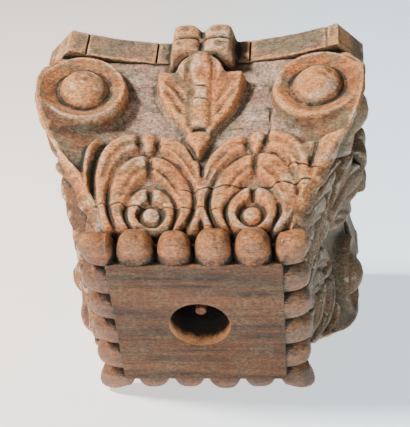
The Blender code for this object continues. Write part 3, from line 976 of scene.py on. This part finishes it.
# %% [markdown]
# ## Shading
# Worn wood has few true edges. Shading is smooth across faces that meet at a shallow angle, and
# stays crisp at the rim of the socket and the edges of the abacus.

# %% Smooth shading
SMOOTH_BELOW = 48

for piece in (capital, dowel):
    select_none()
    piece.select_set(True)
    bpy.context.view_layer.objects.active = piece
    bpy.ops.object.shade_smooth_by_angle(angle=math.radians(SMOOTH_BELOW))
    print(piece.name, "is shaded smooth")

# %% [markdown]
# ## Marks for the finish
# Dirt settles in hollows and is darkened there into painted shade, hands wear the edges pale,
# which is partly a painted highlight, and the ground keeps its limewash. Each vertex gets three
# numbers for the materials: how shut in it is, found with rays sent out from it; how much it bulges
# against a smoothed copy of the skin; and how high it is carved, taken from the nearest point of the
# grid.

# %% Values of the vertices


def vertex_values(piece, key):
    """Places or normals of all vertices, as rows of three numbers."""
    values = np.empty(len(piece.data.vertices) * 3)
    piece.data.vertices.foreach_get(key, values)
    return values.reshape(-1, 3)


print("vertices to mark:", len(vertex_values(capital, "co")))

# %% [markdown]
# ### How shut in a place is
# Fourteen short rays leave each vertex in three cones. A ray that soon hits the wood counts for
# much, and one that flies free counts for nothing.

# %% Hollow mark
RAY_REACH = 0.018
RAY_START = 0.0003
RAY_TILTS = ((0.35, 3), (0.75, 5), (1.10, 6))


def shut_in(piece):
    """0 for an open vertex, towards 1 for one deep in a hollow."""
    tree = bvhtree.BVHTree.FromPolygons(
        [v.co for v in piece.data.vertices], [f.vertices[:] for f in piece.data.polygons]
    )
    points, normals = vertex_values(piece, "co"), vertex_values(piece, "normal")
    helper = np.where(np.abs(normals[:, 2:]) > 0.8, np.array((1.0, 0, 0)), np.array((0, 0, 1.0)))
    first = np.cross(normals, helper)
    first /= np.linalg.norm(first, axis=1, keepdims=True)
    second = np.cross(normals, first)
    starts = points + normals * RAY_START
    blocked, rays = np.zeros(len(points)), 0
    for tilt, count in RAY_TILTS:
        for number in range(count):
            spin = (number + tilt) / count * 2 * math.pi
            sideways = first * math.cos(spin) + second * math.sin(spin)
            ways = normals * math.cos(tilt) + sideways * math.sin(tilt)
            hits = [tree.ray_cast(a, b, RAY_REACH)[3] for a, b in zip(starts.tolist(), ways.tolist())]
            blocked += np.array([0.0 if hit is None else 1 - hit / RAY_REACH for hit in hits])
            rays += 1
    return blocked / rays


print("rays from each vertex:", sum(count for _, count in RAY_TILTS))

# %% [markdown]
# ### What stands out
# The skin is smoothed a few times by taking the middle of each vertex's neighbours. A vertex that
# stood outside the smoothed skin lies on an edge or a crest, and one inside it lies in a groove.

# %% Edge mark
EDGE_ROUNDS = 5


def bulge(piece):
    """Above 0 on an edge or a crest, below 0 in a groove."""
    points, normals = vertex_values(piece, "co"), vertex_values(piece, "normal")
    pairs = np.empty(len(piece.data.edges) * 2, dtype=int)
    piece.data.edges.foreach_get("vertices", pairs)
    one, other = pairs.reshape(-1, 2).T
    count = np.bincount(one, minlength=len(points)) + np.bincount(other, minlength=len(points))
    smooth = points.copy()
    for _ in range(EDGE_ROUNDS):
        ahead = [np.bincount(one, smooth[other, axis], len(points)) for axis in range(3)]
        back = [np.bincount(other, smooth[one, axis], len(points)) for axis in range(3)]
        smooth = (np.stack(ahead, axis=1) + np.stack(back, axis=1)) / count[:, None]
    return ((points - smooth) * normals).sum(axis=1)


print("smoothing rounds:", EDGE_ROUNDS)

# %% [markdown]
# ### Store the marks
# The third mark comes from the grid, where the height of the carving is still known. The marks
# are stored on the vertices, and are 0 on the flat ends and in the socket, which were never carved.

# %% Put the marks on the block
HOLLOW_GAIN = 2.2
EDGE_BULGE = 0.0007

flat_grid = grid.reshape(-1, 3)
tree = kdtree.KDTree(len(flat_grid))
for index, point in enumerate(flat_grid):
    tree.insert(point, index)
tree.balance()
nearest = np.array([tree.find(vertex.co)[1] for vertex in capital.data.vertices])
marks = {
    "hollow": np.clip(shut_in(capital) * HOLLOW_GAIN, 0, 1),
    "edge": np.clip(bulge(capital) / EDGE_BULGE, -1, 1),
    "raised": np.clip(grid_height.ravel()[nearest] / LEAF_PROUD, -1, 1),
}
plain_ends = np.array([
    vertex.co.xy.length < SOCKET_RADIUS + 0.002 or not 0.0004 < vertex.co.z < HEIGHT - 0.0004
    for vertex in capital.data.vertices
])
for name, values in marks.items():
    layer = capital.data.attributes.new(name, "FLOAT", "POINT")
    layer.data.foreach_set("value", np.where(plain_ends, 0.0, values).astype(np.float32))
    print(name, "mean", round(float(values.mean()), 3), "highest", round(float(values.max()), 3))

# %% [markdown]
# ## Finish
# The timber is bare. Where hands and brushes reached, it is worn to a warm orange tan with a low
# gloss; in the hollows lies grey-green dirt that darkens into painted shade, and on the ground of
# the bell there are remains of limewash. Every effect is a node group that puts out a mask, so that
# the block and the dowel can share it, and the colours are mixed in each material.

# %% Colours for nodes


def linear(red, green, blue):
    """A colour as seen on a screen, 0 to 255, in the linear numbers that nodes use."""
    def one(value):
        value = value / 255
        return value / 12.92 if value <= 0.04045 else ((value + 0.055) / 1.055) ** 2.4
    return one(red), one(green), one(blue), 1.0


print("a mid brown in linear numbers:", [round(part, 3) for part in linear(128, 96, 64)])

# %% [markdown]
# ### Node helpers
# A material is a tree of nodes. This helper adds a node, links it to what it is given, which may
# be a number or another node's socket, and gives back its output, so that a mask reads as a sum.

# %% Node helpers


class Nodes:
    """Adds nodes to a tree and links what they are given."""

    def __init__(self, tree):
        self.tree = tree

    def put(self, socket, value):
        if isinstance(value, bpy.types.NodeSocket):
            self.tree.links.new(value, socket)
        elif value is not None:
            socket.default_value = value

    def add(self, kind, settings=None, **values):
        node = self.tree.nodes.new(kind)
        for key, value in (settings or {}).items():
            setattr(node, key, value)
        for key, value in values.items():
            self.put(node.inputs[key.replace("_", " ")], value)
        return node

    def math(self, operation, a, b=None, clamp=False):
        node = self.add("ShaderNodeMath", {"operation": operation, "use_clamp": clamp})
        self.put(node.inputs[0], a)
        self.put(node.inputs[1], b)
        return node.outputs[0]

    def times(self, a, b):
        return self.math("MULTIPLY", a, b)

    def plus(self, a, b):
        return self.math("ADD", a, b)

    def less(self, a, b, clamp=False):
        return self.math("SUBTRACT", a, b, clamp)

    def rest(self, value, clamp=False):
        """What is left of 1."""
        return self.less(1.0, value, clamp)

    def step(self, value, low, high):
        """0 below low, 1 above high, soft between them."""
        settings = {"interpolation_type": "SMOOTHSTEP"}
        node = self.add("ShaderNodeMapRange", settings, Value=value, From_Min=low, From_Max=high)
        return node.outputs["Result"]

    def blend(self, share, first, second, how="MIX"):
        """The first colour with a share of the second over it."""
        node = self.add("ShaderNodeMix", {"data_type": "RGBA", "blend_type": how})
        for number, value in ((0, share), (6, first), (7, second)):
            self.put(node.inputs[number], value)
        return node.outputs[2]

    def noise(self, place, scale, detail=3.0, roughness=0.6, distortion=0.0):
        node = self.add("ShaderNodeTexNoise", None, Vector=place, Scale=scale, Detail=detail,
                        Roughness=roughness, Distortion=distortion)
        return node.outputs["Fac"]

    def here(self):
        """Object coordinates, which stay with the piece."""
        return self.add("ShaderNodeTexCoord").outputs["Object"]

    def here_along(self):
        """Object coordinates one by one: X, Y and Z."""
        return self.add("ShaderNodeSeparateXYZ", None, Vector=self.here()).outputs

    def stretched(self, scale):
        """Object coordinates, stretched along the grain."""
        return self.add("ShaderNodeMapping", None, Vector=self.here(), Scale=scale).outputs["Vector"]

    def marked(self, name):
        """One of the marks on the vertices."""
        return self.add("ShaderNodeAttribute", {"attribute_name": name}).outputs["Fac"]


print("node helpers:", [name for name in vars(Nodes) if not name.startswith("_")])

# %% [markdown]
# ### Shader groups
# An effect that more than one finish may use is kept in a group, with named inputs and outputs.

# %% New shader groups


def new_group(name, inputs, outputs):
    """An empty shader group; each input is a name and its usual value."""
    tree = bpy.data.node_groups.new(name, "ShaderNodeTree")
    for label, value in inputs:
        socket = tree.interface.new_socket(name=label, in_out="INPUT", socket_type="NodeSocketFloat")
        socket.default_value = value
    for label in outputs:
        tree.interface.new_socket(name=label, in_out="OUTPUT", socket_type="NodeSocketFloat")
    entry, leave = tree.nodes.new("NodeGroupInput"), tree.nodes.new("NodeGroupOutput")
    return tree, Nodes(tree), entry, leave


print("groups before the first effect:", len(bpy.data.node_groups))


# %% [markdown]
# ### Grain
# The grain runs from left to right of the front, so the noise is stretched along X. On the two
# sides where the grain ends, the same noise shows as fine pores, as real end grain does.

# %% Group: timber grain
grain, n, entry, leave = new_group("timber grain", (("fineness", 1.0),), ("streak", "pore", "height"))
fibre = n.noise(n.stretched((7.0, 110.0, 110.0)), entry.outputs["fineness"], 4.0, 0.65, 0.35)
band = n.noise(n.stretched((2.2, 24.0, 24.0)), 1.0, 3.0, 0.55, 0.8)
streak = n.plus(n.times(fibre, 0.55), n.times(band, 0.45))
pore = n.noise(n.stretched((28.0, 520.0, 520.0)), 1.0, 2.0, 0.6)
n.put(leave.inputs["streak"], n.step(streak, 0.36, 0.64))
n.put(leave.inputs["pore"], n.step(pore, 0.60, 0.70))
height = n.less(streak, n.times(n.step(pore, 0.58, 0.72), 0.25))
n.put(leave.inputs["height"], height)
print(grain.name, "puts out streaks, pores and a height")

# %% [markdown]
# ### Checks
# Checks are the small cracks that drying opens along the grain. They are cut from two stretched
# noises: one says where a line can run, the other how long it is.

# %% Group: drying checks
checks, n, entry, leave = new_group("drying checks", (("amount", 0.5),), ("line",))
path = n.noise(n.stretched((5.0, 60.0, 60.0)), 1.0, 1.0, 0.5, 0.6)
line = n.math("ABSOLUTE", n.less(path, 0.5))
line = n.rest(n.step(line, 0.002, 0.011))
where = n.noise(n.stretched((14.0, 30.0, 30.0)), 1.0, 2.0, 0.6)
where = n.step(where, n.less(0.78, n.times(entry.outputs["amount"], 0.3)), 0.80)
n.put(leave.inputs["line"], n.times(line, where))
print(checks.name, "puts out thin lines along the grain")

# %% [markdown]
# ### Dirt and painted shade, limewash and wear
# Dirt, darkened into painted shade, lies where a vertex is marked as hollow, broken up by noise so that
# its edge is ragged.
# Limewash stays as specks in the pores, and wear shows where the mark says the wood stands out.

# %% Groups: dirt and painted shade, limewash and wear
dirt_and_shade, n, entry, leave = new_group("painted shade and grime in hollows", (("hollow", 0.0), ("edge", 0.0)), ("mask",))
cloud = n.noise(n.here(), 70.0, 5.0, 0.7)
depth = n.less(entry.outputs["hollow"], n.times(entry.outputs["edge"], 0.35))
depth = n.plus(depth, n.times(n.less(cloud, 0.5), 0.8))
n.put(leave.inputs["mask"], n.step(depth, 0.15, 0.85))

limewash, n, entry, leave = new_group("limewash specks", (("amount", 0.5),), ("mask",))
speck = n.noise(n.stretched((0.8, 1.0, 1.0)), 420.0, 3.0, 0.75)
patch = n.noise(n.here(), 34.0, 3.0, 0.6)
speck = n.plus(n.times(speck, 0.6), n.times(patch, 0.4))
level_low = n.less(0.64, n.times(entry.outputs["amount"], 0.14))
n.put(leave.inputs["mask"], n.step(speck, level_low, n.plus(level_low, 0.06)))

wear, n, entry, leave = new_group("worn edges", (("hollow", 0.0), ("edge", 0.0)), ("mask",))
cloud = n.noise(n.here(), 95.0, 4.0, 0.7)
high = n.less(entry.outputs["edge"], entry.outputs["hollow"])
high = n.plus(high, n.times(n.less(cloud, 0.5), 1.4))
n.put(leave.inputs["mask"], n.step(high, 0.10, 0.95))
print("node groups:", [group.name for group in bpy.data.node_groups])

# %% [markdown]
# ### Parts of the block
# The block is one piece of wood, but its parts aged in their own ways. Object height tells the
# neck from the bell and the abacus, and the raised mark tells the carving from the ground behind
# it. Each part becomes a mask from 0 to 1, which the colours then use.

# %% Material of the block: where each part is


def place_group(n, tree, **values):
    """A shader group placed in a material, with its own values."""
    node = n.tree.nodes.new("ShaderNodeGroup")
    node.node_tree = tree
    for key, value in values.items():
        n.put(node.inputs[key], value)
    return node.outputs


def new_material(name):
    """A material with its node helper and its shader."""
    made = bpy.data.materials.new(name)
    made.use_nodes = True
    shader = made.node_tree.nodes["Principled BSDF"]
    return made, Nodes(made.node_tree), shader


timber, n, shader = new_material("aged carved timber")
here = n.here_along()
height_here = here["Z"]
marked = {name: n.marked(name) for name in marks}
raised_here = marked.pop("raised")
grain_here = place_group(n, grain, fineness=1.0)
on_neck = n.rest(n.step(height_here, 0.032, 0.036))
on_abacus = n.step(height_here, ABACUS_FOOT - 0.002, ABACUS_FOOT + 0.001)
on_carving = n.step(raised_here, 0.15, 0.6)
on_plain = n.step(raised_here, -0.2, -0.8)
on_ground = n.rest(n.plus(n.plus(on_neck, on_abacus), on_carving), True)
on_ground = n.times(on_ground, n.rest(on_plain))
print("masks:", len(timber.node_tree.nodes), "nodes")

# %% [markdown]
# ### Colours of the parts
# Each part has a darker and a lighter tone, mixed by the streaks of the grain: brown timber below,
# then the tan of worn carving, the pinkish ground of the bell, the greyer abacus, the dark flat
# underside and the redder beads. Every layer is laid over the one before it, as paint would be.

# %% Material of the block: timber, carving, ground and beads
streak = grain_here["streak"]
plain_brown = n.blend(streak, linear(76, 48, 30), linear(156, 104, 68))
worn_tan = n.blend(streak, linear(150, 88, 46), linear(222, 148, 86))
colour = n.blend(on_carving, plain_brown, worn_tan)
ground_tone = n.blend(streak, linear(146, 110, 90), linear(204, 168, 146))
colour = n.blend(on_ground, colour, ground_tone)
bare_abacus = n.times(on_abacus, n.less(0.38, n.times(on_carving, 0.30)))
colour = n.blend(bare_abacus, colour, linear(182, 162, 138))
off_bed = n.step(height_here, 0.0003, 0.0012)
off_bed = n.less(off_bed, n.step(height_here, HEIGHT - 0.0009, HEIGHT - 0.0002), True)
colour = n.blend(off_bed, n.blend(streak, linear(44, 28, 17), linear(136, 86, 48)), colour)
on_beads = n.times(on_neck, off_bed)
colour = n.blend(on_beads, colour, n.blend(streak, linear(86, 46, 22), linear(180, 106, 52)))
print("with colours of the parts:", len(timber.node_tree.nodes), "nodes")

# %% [markdown]
# ### Stains
# Old timber is patchy. A coarse noise lays grey-green patches, a second one warms the carving and
# a third leaves dark stains, most of all on the beads.

# %% Material of the block: stains
patches = n.noise(n.stretched((1.0, 1.3, 1.3)), 34.0, 5.0, 0.68)
grey = n.times(n.step(patches, 0.47, 0.57), n.less(0.68, n.times(on_neck, 0.45)))
colour = n.blend(grey, colour, linear(126, 120, 92))
warm = n.noise(n.stretched((1.0, 1.2, 1.2)), 46.0, 4.0, 0.65)
warm = n.times(n.step(warm, 0.50, 0.60), n.times(on_carving, 0.5))
colour = n.blend(warm, colour, linear(226, 128, 76))
stains = n.noise(n.stretched((1.3, 1.0, 1.0)), 120.0, 5.0, 0.75)
stained = n.times(n.step(stains, 0.48, 0.60), n.plus(0.45, n.times(on_beads, 0.35)))
colour = n.blend(stained, colour, linear(76, 50, 34))
print("with stains:", len(timber.node_tree.nodes), "nodes")

# %% [markdown]
# ### Painted shade on the sides
# The four sides are coloured apart. The right one is painted grey and dark as shade, the left one a
# deep brown, partly for its end grain and partly as painted shade, and the beads of the back are
# painted dark as the shadow where they come close to the board. A side is told from its neighbours
# by comparing X with Y, and the flat underside and the top are left out.

# %% Material of the block: tints of the sides
depth_here = n.math("ABSOLUTE", here["Y"])
to_right = n.times(n.step(n.less(here["X"], depth_here), -0.004, 0.008), off_bed)
to_left = n.step(n.less(n.times(here["X"], -1.0), depth_here), -0.002, 0.010)
to_left = n.times(to_left, off_bed)
spared = n.plus(n.times(on_neck, 0.40), n.times(on_abacus, 0.25))
# Painted shade: the right side is tinted grey and dark, less on the neck and the abacus.
painted_shade_right = n.times(to_right, n.less(0.72, spared))
colour = n.blend(painted_shade_right, colour, n.blend(stains, linear(84, 74, 57), linear(156, 136, 106)))
# Partly end grain, partly painted shade: the left side is tinted a deep brown.
end_grain_and_shade_left = n.times(to_left, n.less(0.84, n.times(on_neck, 0.34)))
colour = n.blend(end_grain_and_shade_left, colour, n.blend(stains, linear(62, 38, 24), linear(124, 80, 52)))
to_back = n.step(n.less(here["Y"], n.math("ABSOLUTE", here["X"])), -0.004, 0.010)
# Painted shadow: the beads of the back are darkened where they come close to the board.
painted_shadow_back = n.times(n.times(to_back, on_beads), 0.6)
colour = n.blend(painted_shadow_back, colour, linear(70, 42, 26))
print("with tints of the sides:", len(timber.node_tree.nodes), "nodes")

# %% [markdown]
# ### Limewash, dirt and painted shade, and wear
# Here the groups are placed with this material's own values. Limewash is left on the ground of the
# bell, dirt goes from grey-green to nearly black as a hollow deepens, the black being painted shade,
# and wear warms what stands out. The edges are painted pale, partly as knocked wear and partly as a
# painted highlight. Limewash is mostly taken off the right side, and wear off the right and left
# sides, which are painted as shaded.

# %% Material of the block: limewash, dirt and painted shade, and wear
lime_share = n.plus(n.times(on_ground, 0.75), n.times(off_bed, 0.1))
lime = place_group(n, limewash, amount=lime_share)["mask"]
# Painted shade: limewash is mostly taken off the right side, which is painted as shaded.
lime = n.times(lime, n.rest(n.times(to_right, 0.8)))
colour = n.blend(n.times(lime, 0.5), colour, linear(228, 212, 198))
dirt_and_shade_here = place_group(n, dirt_and_shade, **marked)["mask"]
dirt_and_shade_share = n.less(0.85, n.times(on_ground, 0.3))
# Grey-green dirt in the hollows, which is also painted shade there.
colour = n.blend(n.times(dirt_and_shade_here, dirt_and_shade_share), colour, linear(88, 82, 62))
# Painted shade: the deepest hollows go nearly black.
colour = n.blend(n.times(n.step(dirt_and_shade_here, 0.45, 0.90), dirt_and_shade_share), colour, linear(38, 33, 25))
wear_here = place_group(n, wear, **marked)["mask"]
wear_here = n.times(wear_here, n.rest(n.times(on_neck, 0.7)))
# Painted shade: the warm wear is taken off the right side, and partly off the left, which are painted as
# shaded.
wear_cut_on_shaded_sides = n.plus(n.times(to_right, 0.9), n.times(to_left, 0.6))
wear_here = n.times(wear_here, n.rest(wear_cut_on_shaded_sides))
colour = n.blend(n.times(wear_here, 0.6), colour, linear(240, 170, 106))
# Partly wear, partly painted highlight: crests and edges are painted pale.
pale_edge_and_highlight = n.times(n.step(marked["edge"], 0.45, 0.95), n.step(patches, 0.50, 0.60))
pale_edge_and_highlight = n.times(pale_edge_and_highlight, n.rest(on_neck))
colour = n.blend(n.times(pale_edge_and_highlight, 0.5), colour, linear(236, 214, 190))
print("with limewash, dirt and wear:", len(timber.node_tree.nodes), "nodes")

# %% [markdown]
# ### Flecks, bore and cracks
# Fine flecks, lighter and darker, lie all over. The bore is painted a light ochre near its mouth,
# as the light that reaches into it, and nearly black further in, as painted shade. Pores and drying
# checks are dark lines over all.

# %% Material of the block: flecks, bore and dark lines
DARK_FLECK = (0.52, 0.51, 0.48, 1.0)
LIGHT_FLECK = (1.36, 1.33, 1.29, 1.0)
flecks = n.noise(n.stretched((0.7, 1.2, 1.2)), 380.0, 4.0, 0.8)
fleck_tone = n.blend(n.step(flecks, 0.36, 0.64), DARK_FLECK, LIGHT_FLECK)
colour = n.blend(1.0, colour, fleck_tone, "MULTIPLY")
squares = [n.math("POWER", here[axis], 2.0) for axis in "XY"]
from_axis = n.math("SQRT", n.plus(*squares))
in_bore = n.rest(n.step(from_axis, SOCKET_RADIUS + 0.0002, SOCKET_RADIUS + 0.0010))
in_bore = n.times(in_bore, n.step(height_here, 0.0002, 0.0012))
in_bore = n.times(in_bore, n.step(height_here, SOCKET_DEPTH + 0.006, SOCKET_DEPTH + 0.002))
# Painted light and shade in the bore: light ochre near the mouth, nearly black further in.
bore_painted_shade = n.step(n.plus(height_here, n.times(stains, 0.016)), 0.013, 0.024)
bore_painted_light_and_shade = n.blend(n.step(patches, 0.30, 0.60), linear(150, 104, 64), linear(250, 176, 116))
bore_painted_light_and_shade = n.blend(bore_painted_shade, bore_painted_light_and_shade, linear(24, 16, 11))
colour = n.blend(in_bore, colour, bore_painted_light_and_shade)

check_here = place_group(n, checks, amount=0.5)["line"]
check_here = n.times(check_here, n.rest(on_beads))
dark_lines = n.math("MAXIMUM", n.times(check_here, 0.8), n.times(grain_here["pore"], 0.55))
colour = n.blend(dark_lines, colour, linear(40, 27, 20))
n.put(shader.inputs["Base Color"], colour)
print("with flecks, bore and cracks:", len(timber.node_tree.nodes), "nodes")

# %% [markdown]
# ### Gloss and relief
# Wear polishes wood and dirt dulls it, and the beads keep a thin coat of old wax, the only place
# where the photo shows small highlights. The grain, the checks, the limewash and small dents are
# too fine for the mesh, so a Bump node raises them in the shading.

# %% Material of the block: gloss and relief
BEAD_COAT = 0.15
COAT_ROUGHNESS = 0.24
BUMP_DEPTH = 0.0030
gloss = n.less(0.62, n.times(wear_here, 0.12))
gloss = n.less(gloss, n.times(on_beads, 0.22))
gloss = n.plus(gloss, n.times(dirt_and_shade_here, 0.2))
gloss = n.plus(gloss, n.times(patches, 0.18))
n.put(shader.inputs["Roughness"], n.math("MINIMUM", gloss, 0.95))
n.put(shader.inputs["Coat Weight"], n.times(on_beads, BEAD_COAT))
shader.inputs["Coat Roughness"].default_value = COAT_ROUGHNESS
dents = n.noise(n.stretched((1.0, 1.5, 1.5)), 210.0, 5.0, 0.75)
relief = n.less(grain_here["height"], n.times(check_here, 0.8))
relief = n.plus(n.plus(relief, n.times(lime, 0.12)), n.times(dents, 1.1))
bump = n.add("ShaderNodeBump", None, Height=relief, Strength=1.0, Distance=BUMP_DEPTH)
n.put(shader.inputs["Normal"], bump.outputs["Normal"])

print("timber material:", len(timber.node_tree.nodes), "nodes")

# %% [markdown]
# ### The dowel
# The pin is bare straight-grained wood, darker than its block from years in the closed socket.
# Its fibres run along its axis, so its noise is stretched along Z and shows as dots on its end.

# %% Material of the dowel
pin_wood, n, shader = new_material("dry dowel wood")
grain_here = place_group(n, grain, fineness=2.0)
pin_place = n.stretched((400.0, 400.0, 12.0))
pin_streak = n.noise(pin_place, 1.0, 3.0, 0.6)
colour = n.blend(n.step(pin_streak, 0.35, 0.65), linear(66, 38, 24), linear(116, 72, 48))
colour = n.blend(n.times(grain_here["pore"], 0.4), colour, linear(60, 36, 26))
n.put(shader.inputs["Base Color"], colour)
n.put(shader.inputs["Roughness"], n.plus(0.62, n.times(pin_streak, 0.2)))
bump = n.add("ShaderNodeBump", None, Height=pin_streak, Strength=0.5, Distance=0.0006)
n.put(shader.inputs["Normal"], bump.outputs["Normal"])

for piece, finish in ((capital, timber), (dowel, pin_wood)):
    piece.data.materials.clear()
    piece.data.materials.append(finish)
    print(piece.name, "is finished with", finish.name)

# %% [markdown]
# ## Floor and board
# Upright, the capital stands on a floor. Seen from below, a floor would hide it, so the floor is
# there only for a viewer above it: its back is clear, and all rays but the camera's go through it.
# Close behind the capital leans a pale board, which stands for the table that it can also lie on.
# The board glows a little, as a lit table does, and lets the lamps' light through. It is clear
# from behind and where it is seen nearly edge-on, so that it hides nothing from the side. Both
# sheets glow, and their tint, warm on the left and cool on the right, is painted lamplight and shade.

# %% Pale floor and board
BOARD_LEAN = math.radians(20.0)
BOARD_PLACE = Vector((0, 1.41, 0.2)) * UNIT
BOARD_SIZE = 5.0
BOARD_TONES = (linear(240, 230, 222), linear(222, 244, 255))
BOUNCE = 1.15
EDGE_ON = (0.80, 0.95)
FLOOR_PLACE = (0, 0, -0.0004)
FLOOR_SIZE = 7.0
FLOOR_TONES = (linear(226, 224, 222), linear(226, 228, 230))


def pale_sheet(name, size, place, lean, tones, is_board):
    """A large one-sided glowing sheet, painted warm on the left and cool on the right as lamplight and
    shade.
    """
    select_none()
    bpy.ops.mesh.primitive_grid_add(
        x_subdivisions=8, y_subdivisions=8, size=size, location=place, rotation=lean
    )
    made = bpy.context.object
    made.name = name
    bpy.ops.object.transform_apply(location=True, rotation=True, scale=True)
    finish, n, shader = new_material(name + " paint")
    across = n.here_along()["X"]
    # Painted light: warm on the left and cool on the right, as lamplight and shade would tint it.
    tone = n.blend(n.step(across, -0.35, 0.35), *tones)
    cloud = n.noise(n.here(), 3.0, 3.0, 0.5)
    n.put(shader.inputs["Base Color"], n.blend(n.times(cloud, 0.06), tone, linear(205, 205, 205)))
    shader.inputs["Roughness"].default_value = 0.85
    n.put(shader.inputs["Emission Color"], tone)
    shader.inputs["Emission Strength"].default_value = BOUNCE
    clear = n.add("ShaderNodeBsdfTransparent").outputs["BSDF"]
    behind = n.add("ShaderNodeNewGeometry").outputs["Backfacing"]
    ray = n.add("ShaderNodeLightPath").outputs
    passing = ray["Is Shadow Ray"] if is_board else n.rest(ray["Is Camera Ray"])
    unseen = n.math("MAXIMUM", behind, passing)
    if is_board:
        edge_on = n.add("ShaderNodeLayerWeight", None, Blend=0.5).outputs["Facing"]
        unseen = n.math("MAXIMUM", unseen, n.step(edge_on, *EDGE_ON))
    mixed = n.add("ShaderNodeMixShader")
    for number, value in enumerate((unseen, shader.outputs["BSDF"], clear)):
        n.put(mixed.inputs[number], value)
    n.put(finish.node_tree.nodes["Material Output"].inputs["Surface"], mixed.outputs[0])
    made.data.materials.append(finish)
    return made


board_turn = (math.pi / 2 - BOARD_LEAN, 0.0, 0.0)
board = pale_sheet("board", BOARD_SIZE, BOARD_PLACE, board_turn, BOARD_TONES, True)
floor = pale_sheet("floor", FLOOR_SIZE, FLOOR_PLACE, (0, 0, 0), FLOOR_TONES, False)
for sheet in (board, floor):
    print(sheet.name, "faces", [round(v, 3) for v in sheet.data.polygons[0].normal])

# %% [markdown]
# ## Light
# The key lamp stands in front at the left, and is small enough to draw clear shadows. A large weak
# one fills from below, where the underside is, a weaker one from the right, and one behind keeps
# the back readable. The sky looks pale to the camera but gives little light, so that the shade
# between the leaves stays deep.

# %% Lamps and sky
SKY_LIGHT = 0.13
SKY_SEEN = 0.72
AIM = Vector((0, 0, 0.13))


def soft_lamp(name, place, size, power, colour):
    """A square lamp that faces the middle of the capital."""
    data = bpy.data.lights.new(name, "AREA")
    data.shape = "SQUARE"
    data.size = size
    data.energy = power
    data.color = colour
    made = bpy.data.objects.new(name, data)
    bpy.context.scene.collection.objects.link(made)
    made.location = place
    made.rotation_euler = (AIM - made.location).to_track_quat("-Z", "Y").to_euler()
    return made


soft_lamp("key", (-1.35, -1.7, 0.3), 0.4, 116, (1.0, 0.95, 0.90))
soft_lamp("low fill", (-0.4, -0.9, -1.6), 1.0, 16, (1.0, 0.98, 0.96))
soft_lamp("right fill", (1.7, -0.9, 0.6), 1.2, 3, (0.94, 0.97, 1.0))
soft_lamp("back", (0.8, 1.9, 1.3), 1.2, 22, (0.95, 0.98, 1.0))

world = bpy.data.worlds.new("pale sky")
bpy.context.scene.world = world
world.use_nodes = True
sky = world.node_tree.nodes["Background"]
sky.inputs["Color"].default_value = (0.80, 0.86, 0.92, 1.0)
n = Nodes(world.node_tree)
seen = n.add("ShaderNodeLightPath").outputs["Is Camera Ray"]
n.put(sky.inputs["Strength"], n.plus(SKY_LIGHT, n.times(seen, SKY_SEEN)))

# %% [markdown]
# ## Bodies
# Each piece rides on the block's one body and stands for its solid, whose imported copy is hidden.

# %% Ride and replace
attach(capital, "root")
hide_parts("capital")
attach(dowel, "root")
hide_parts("dowel")
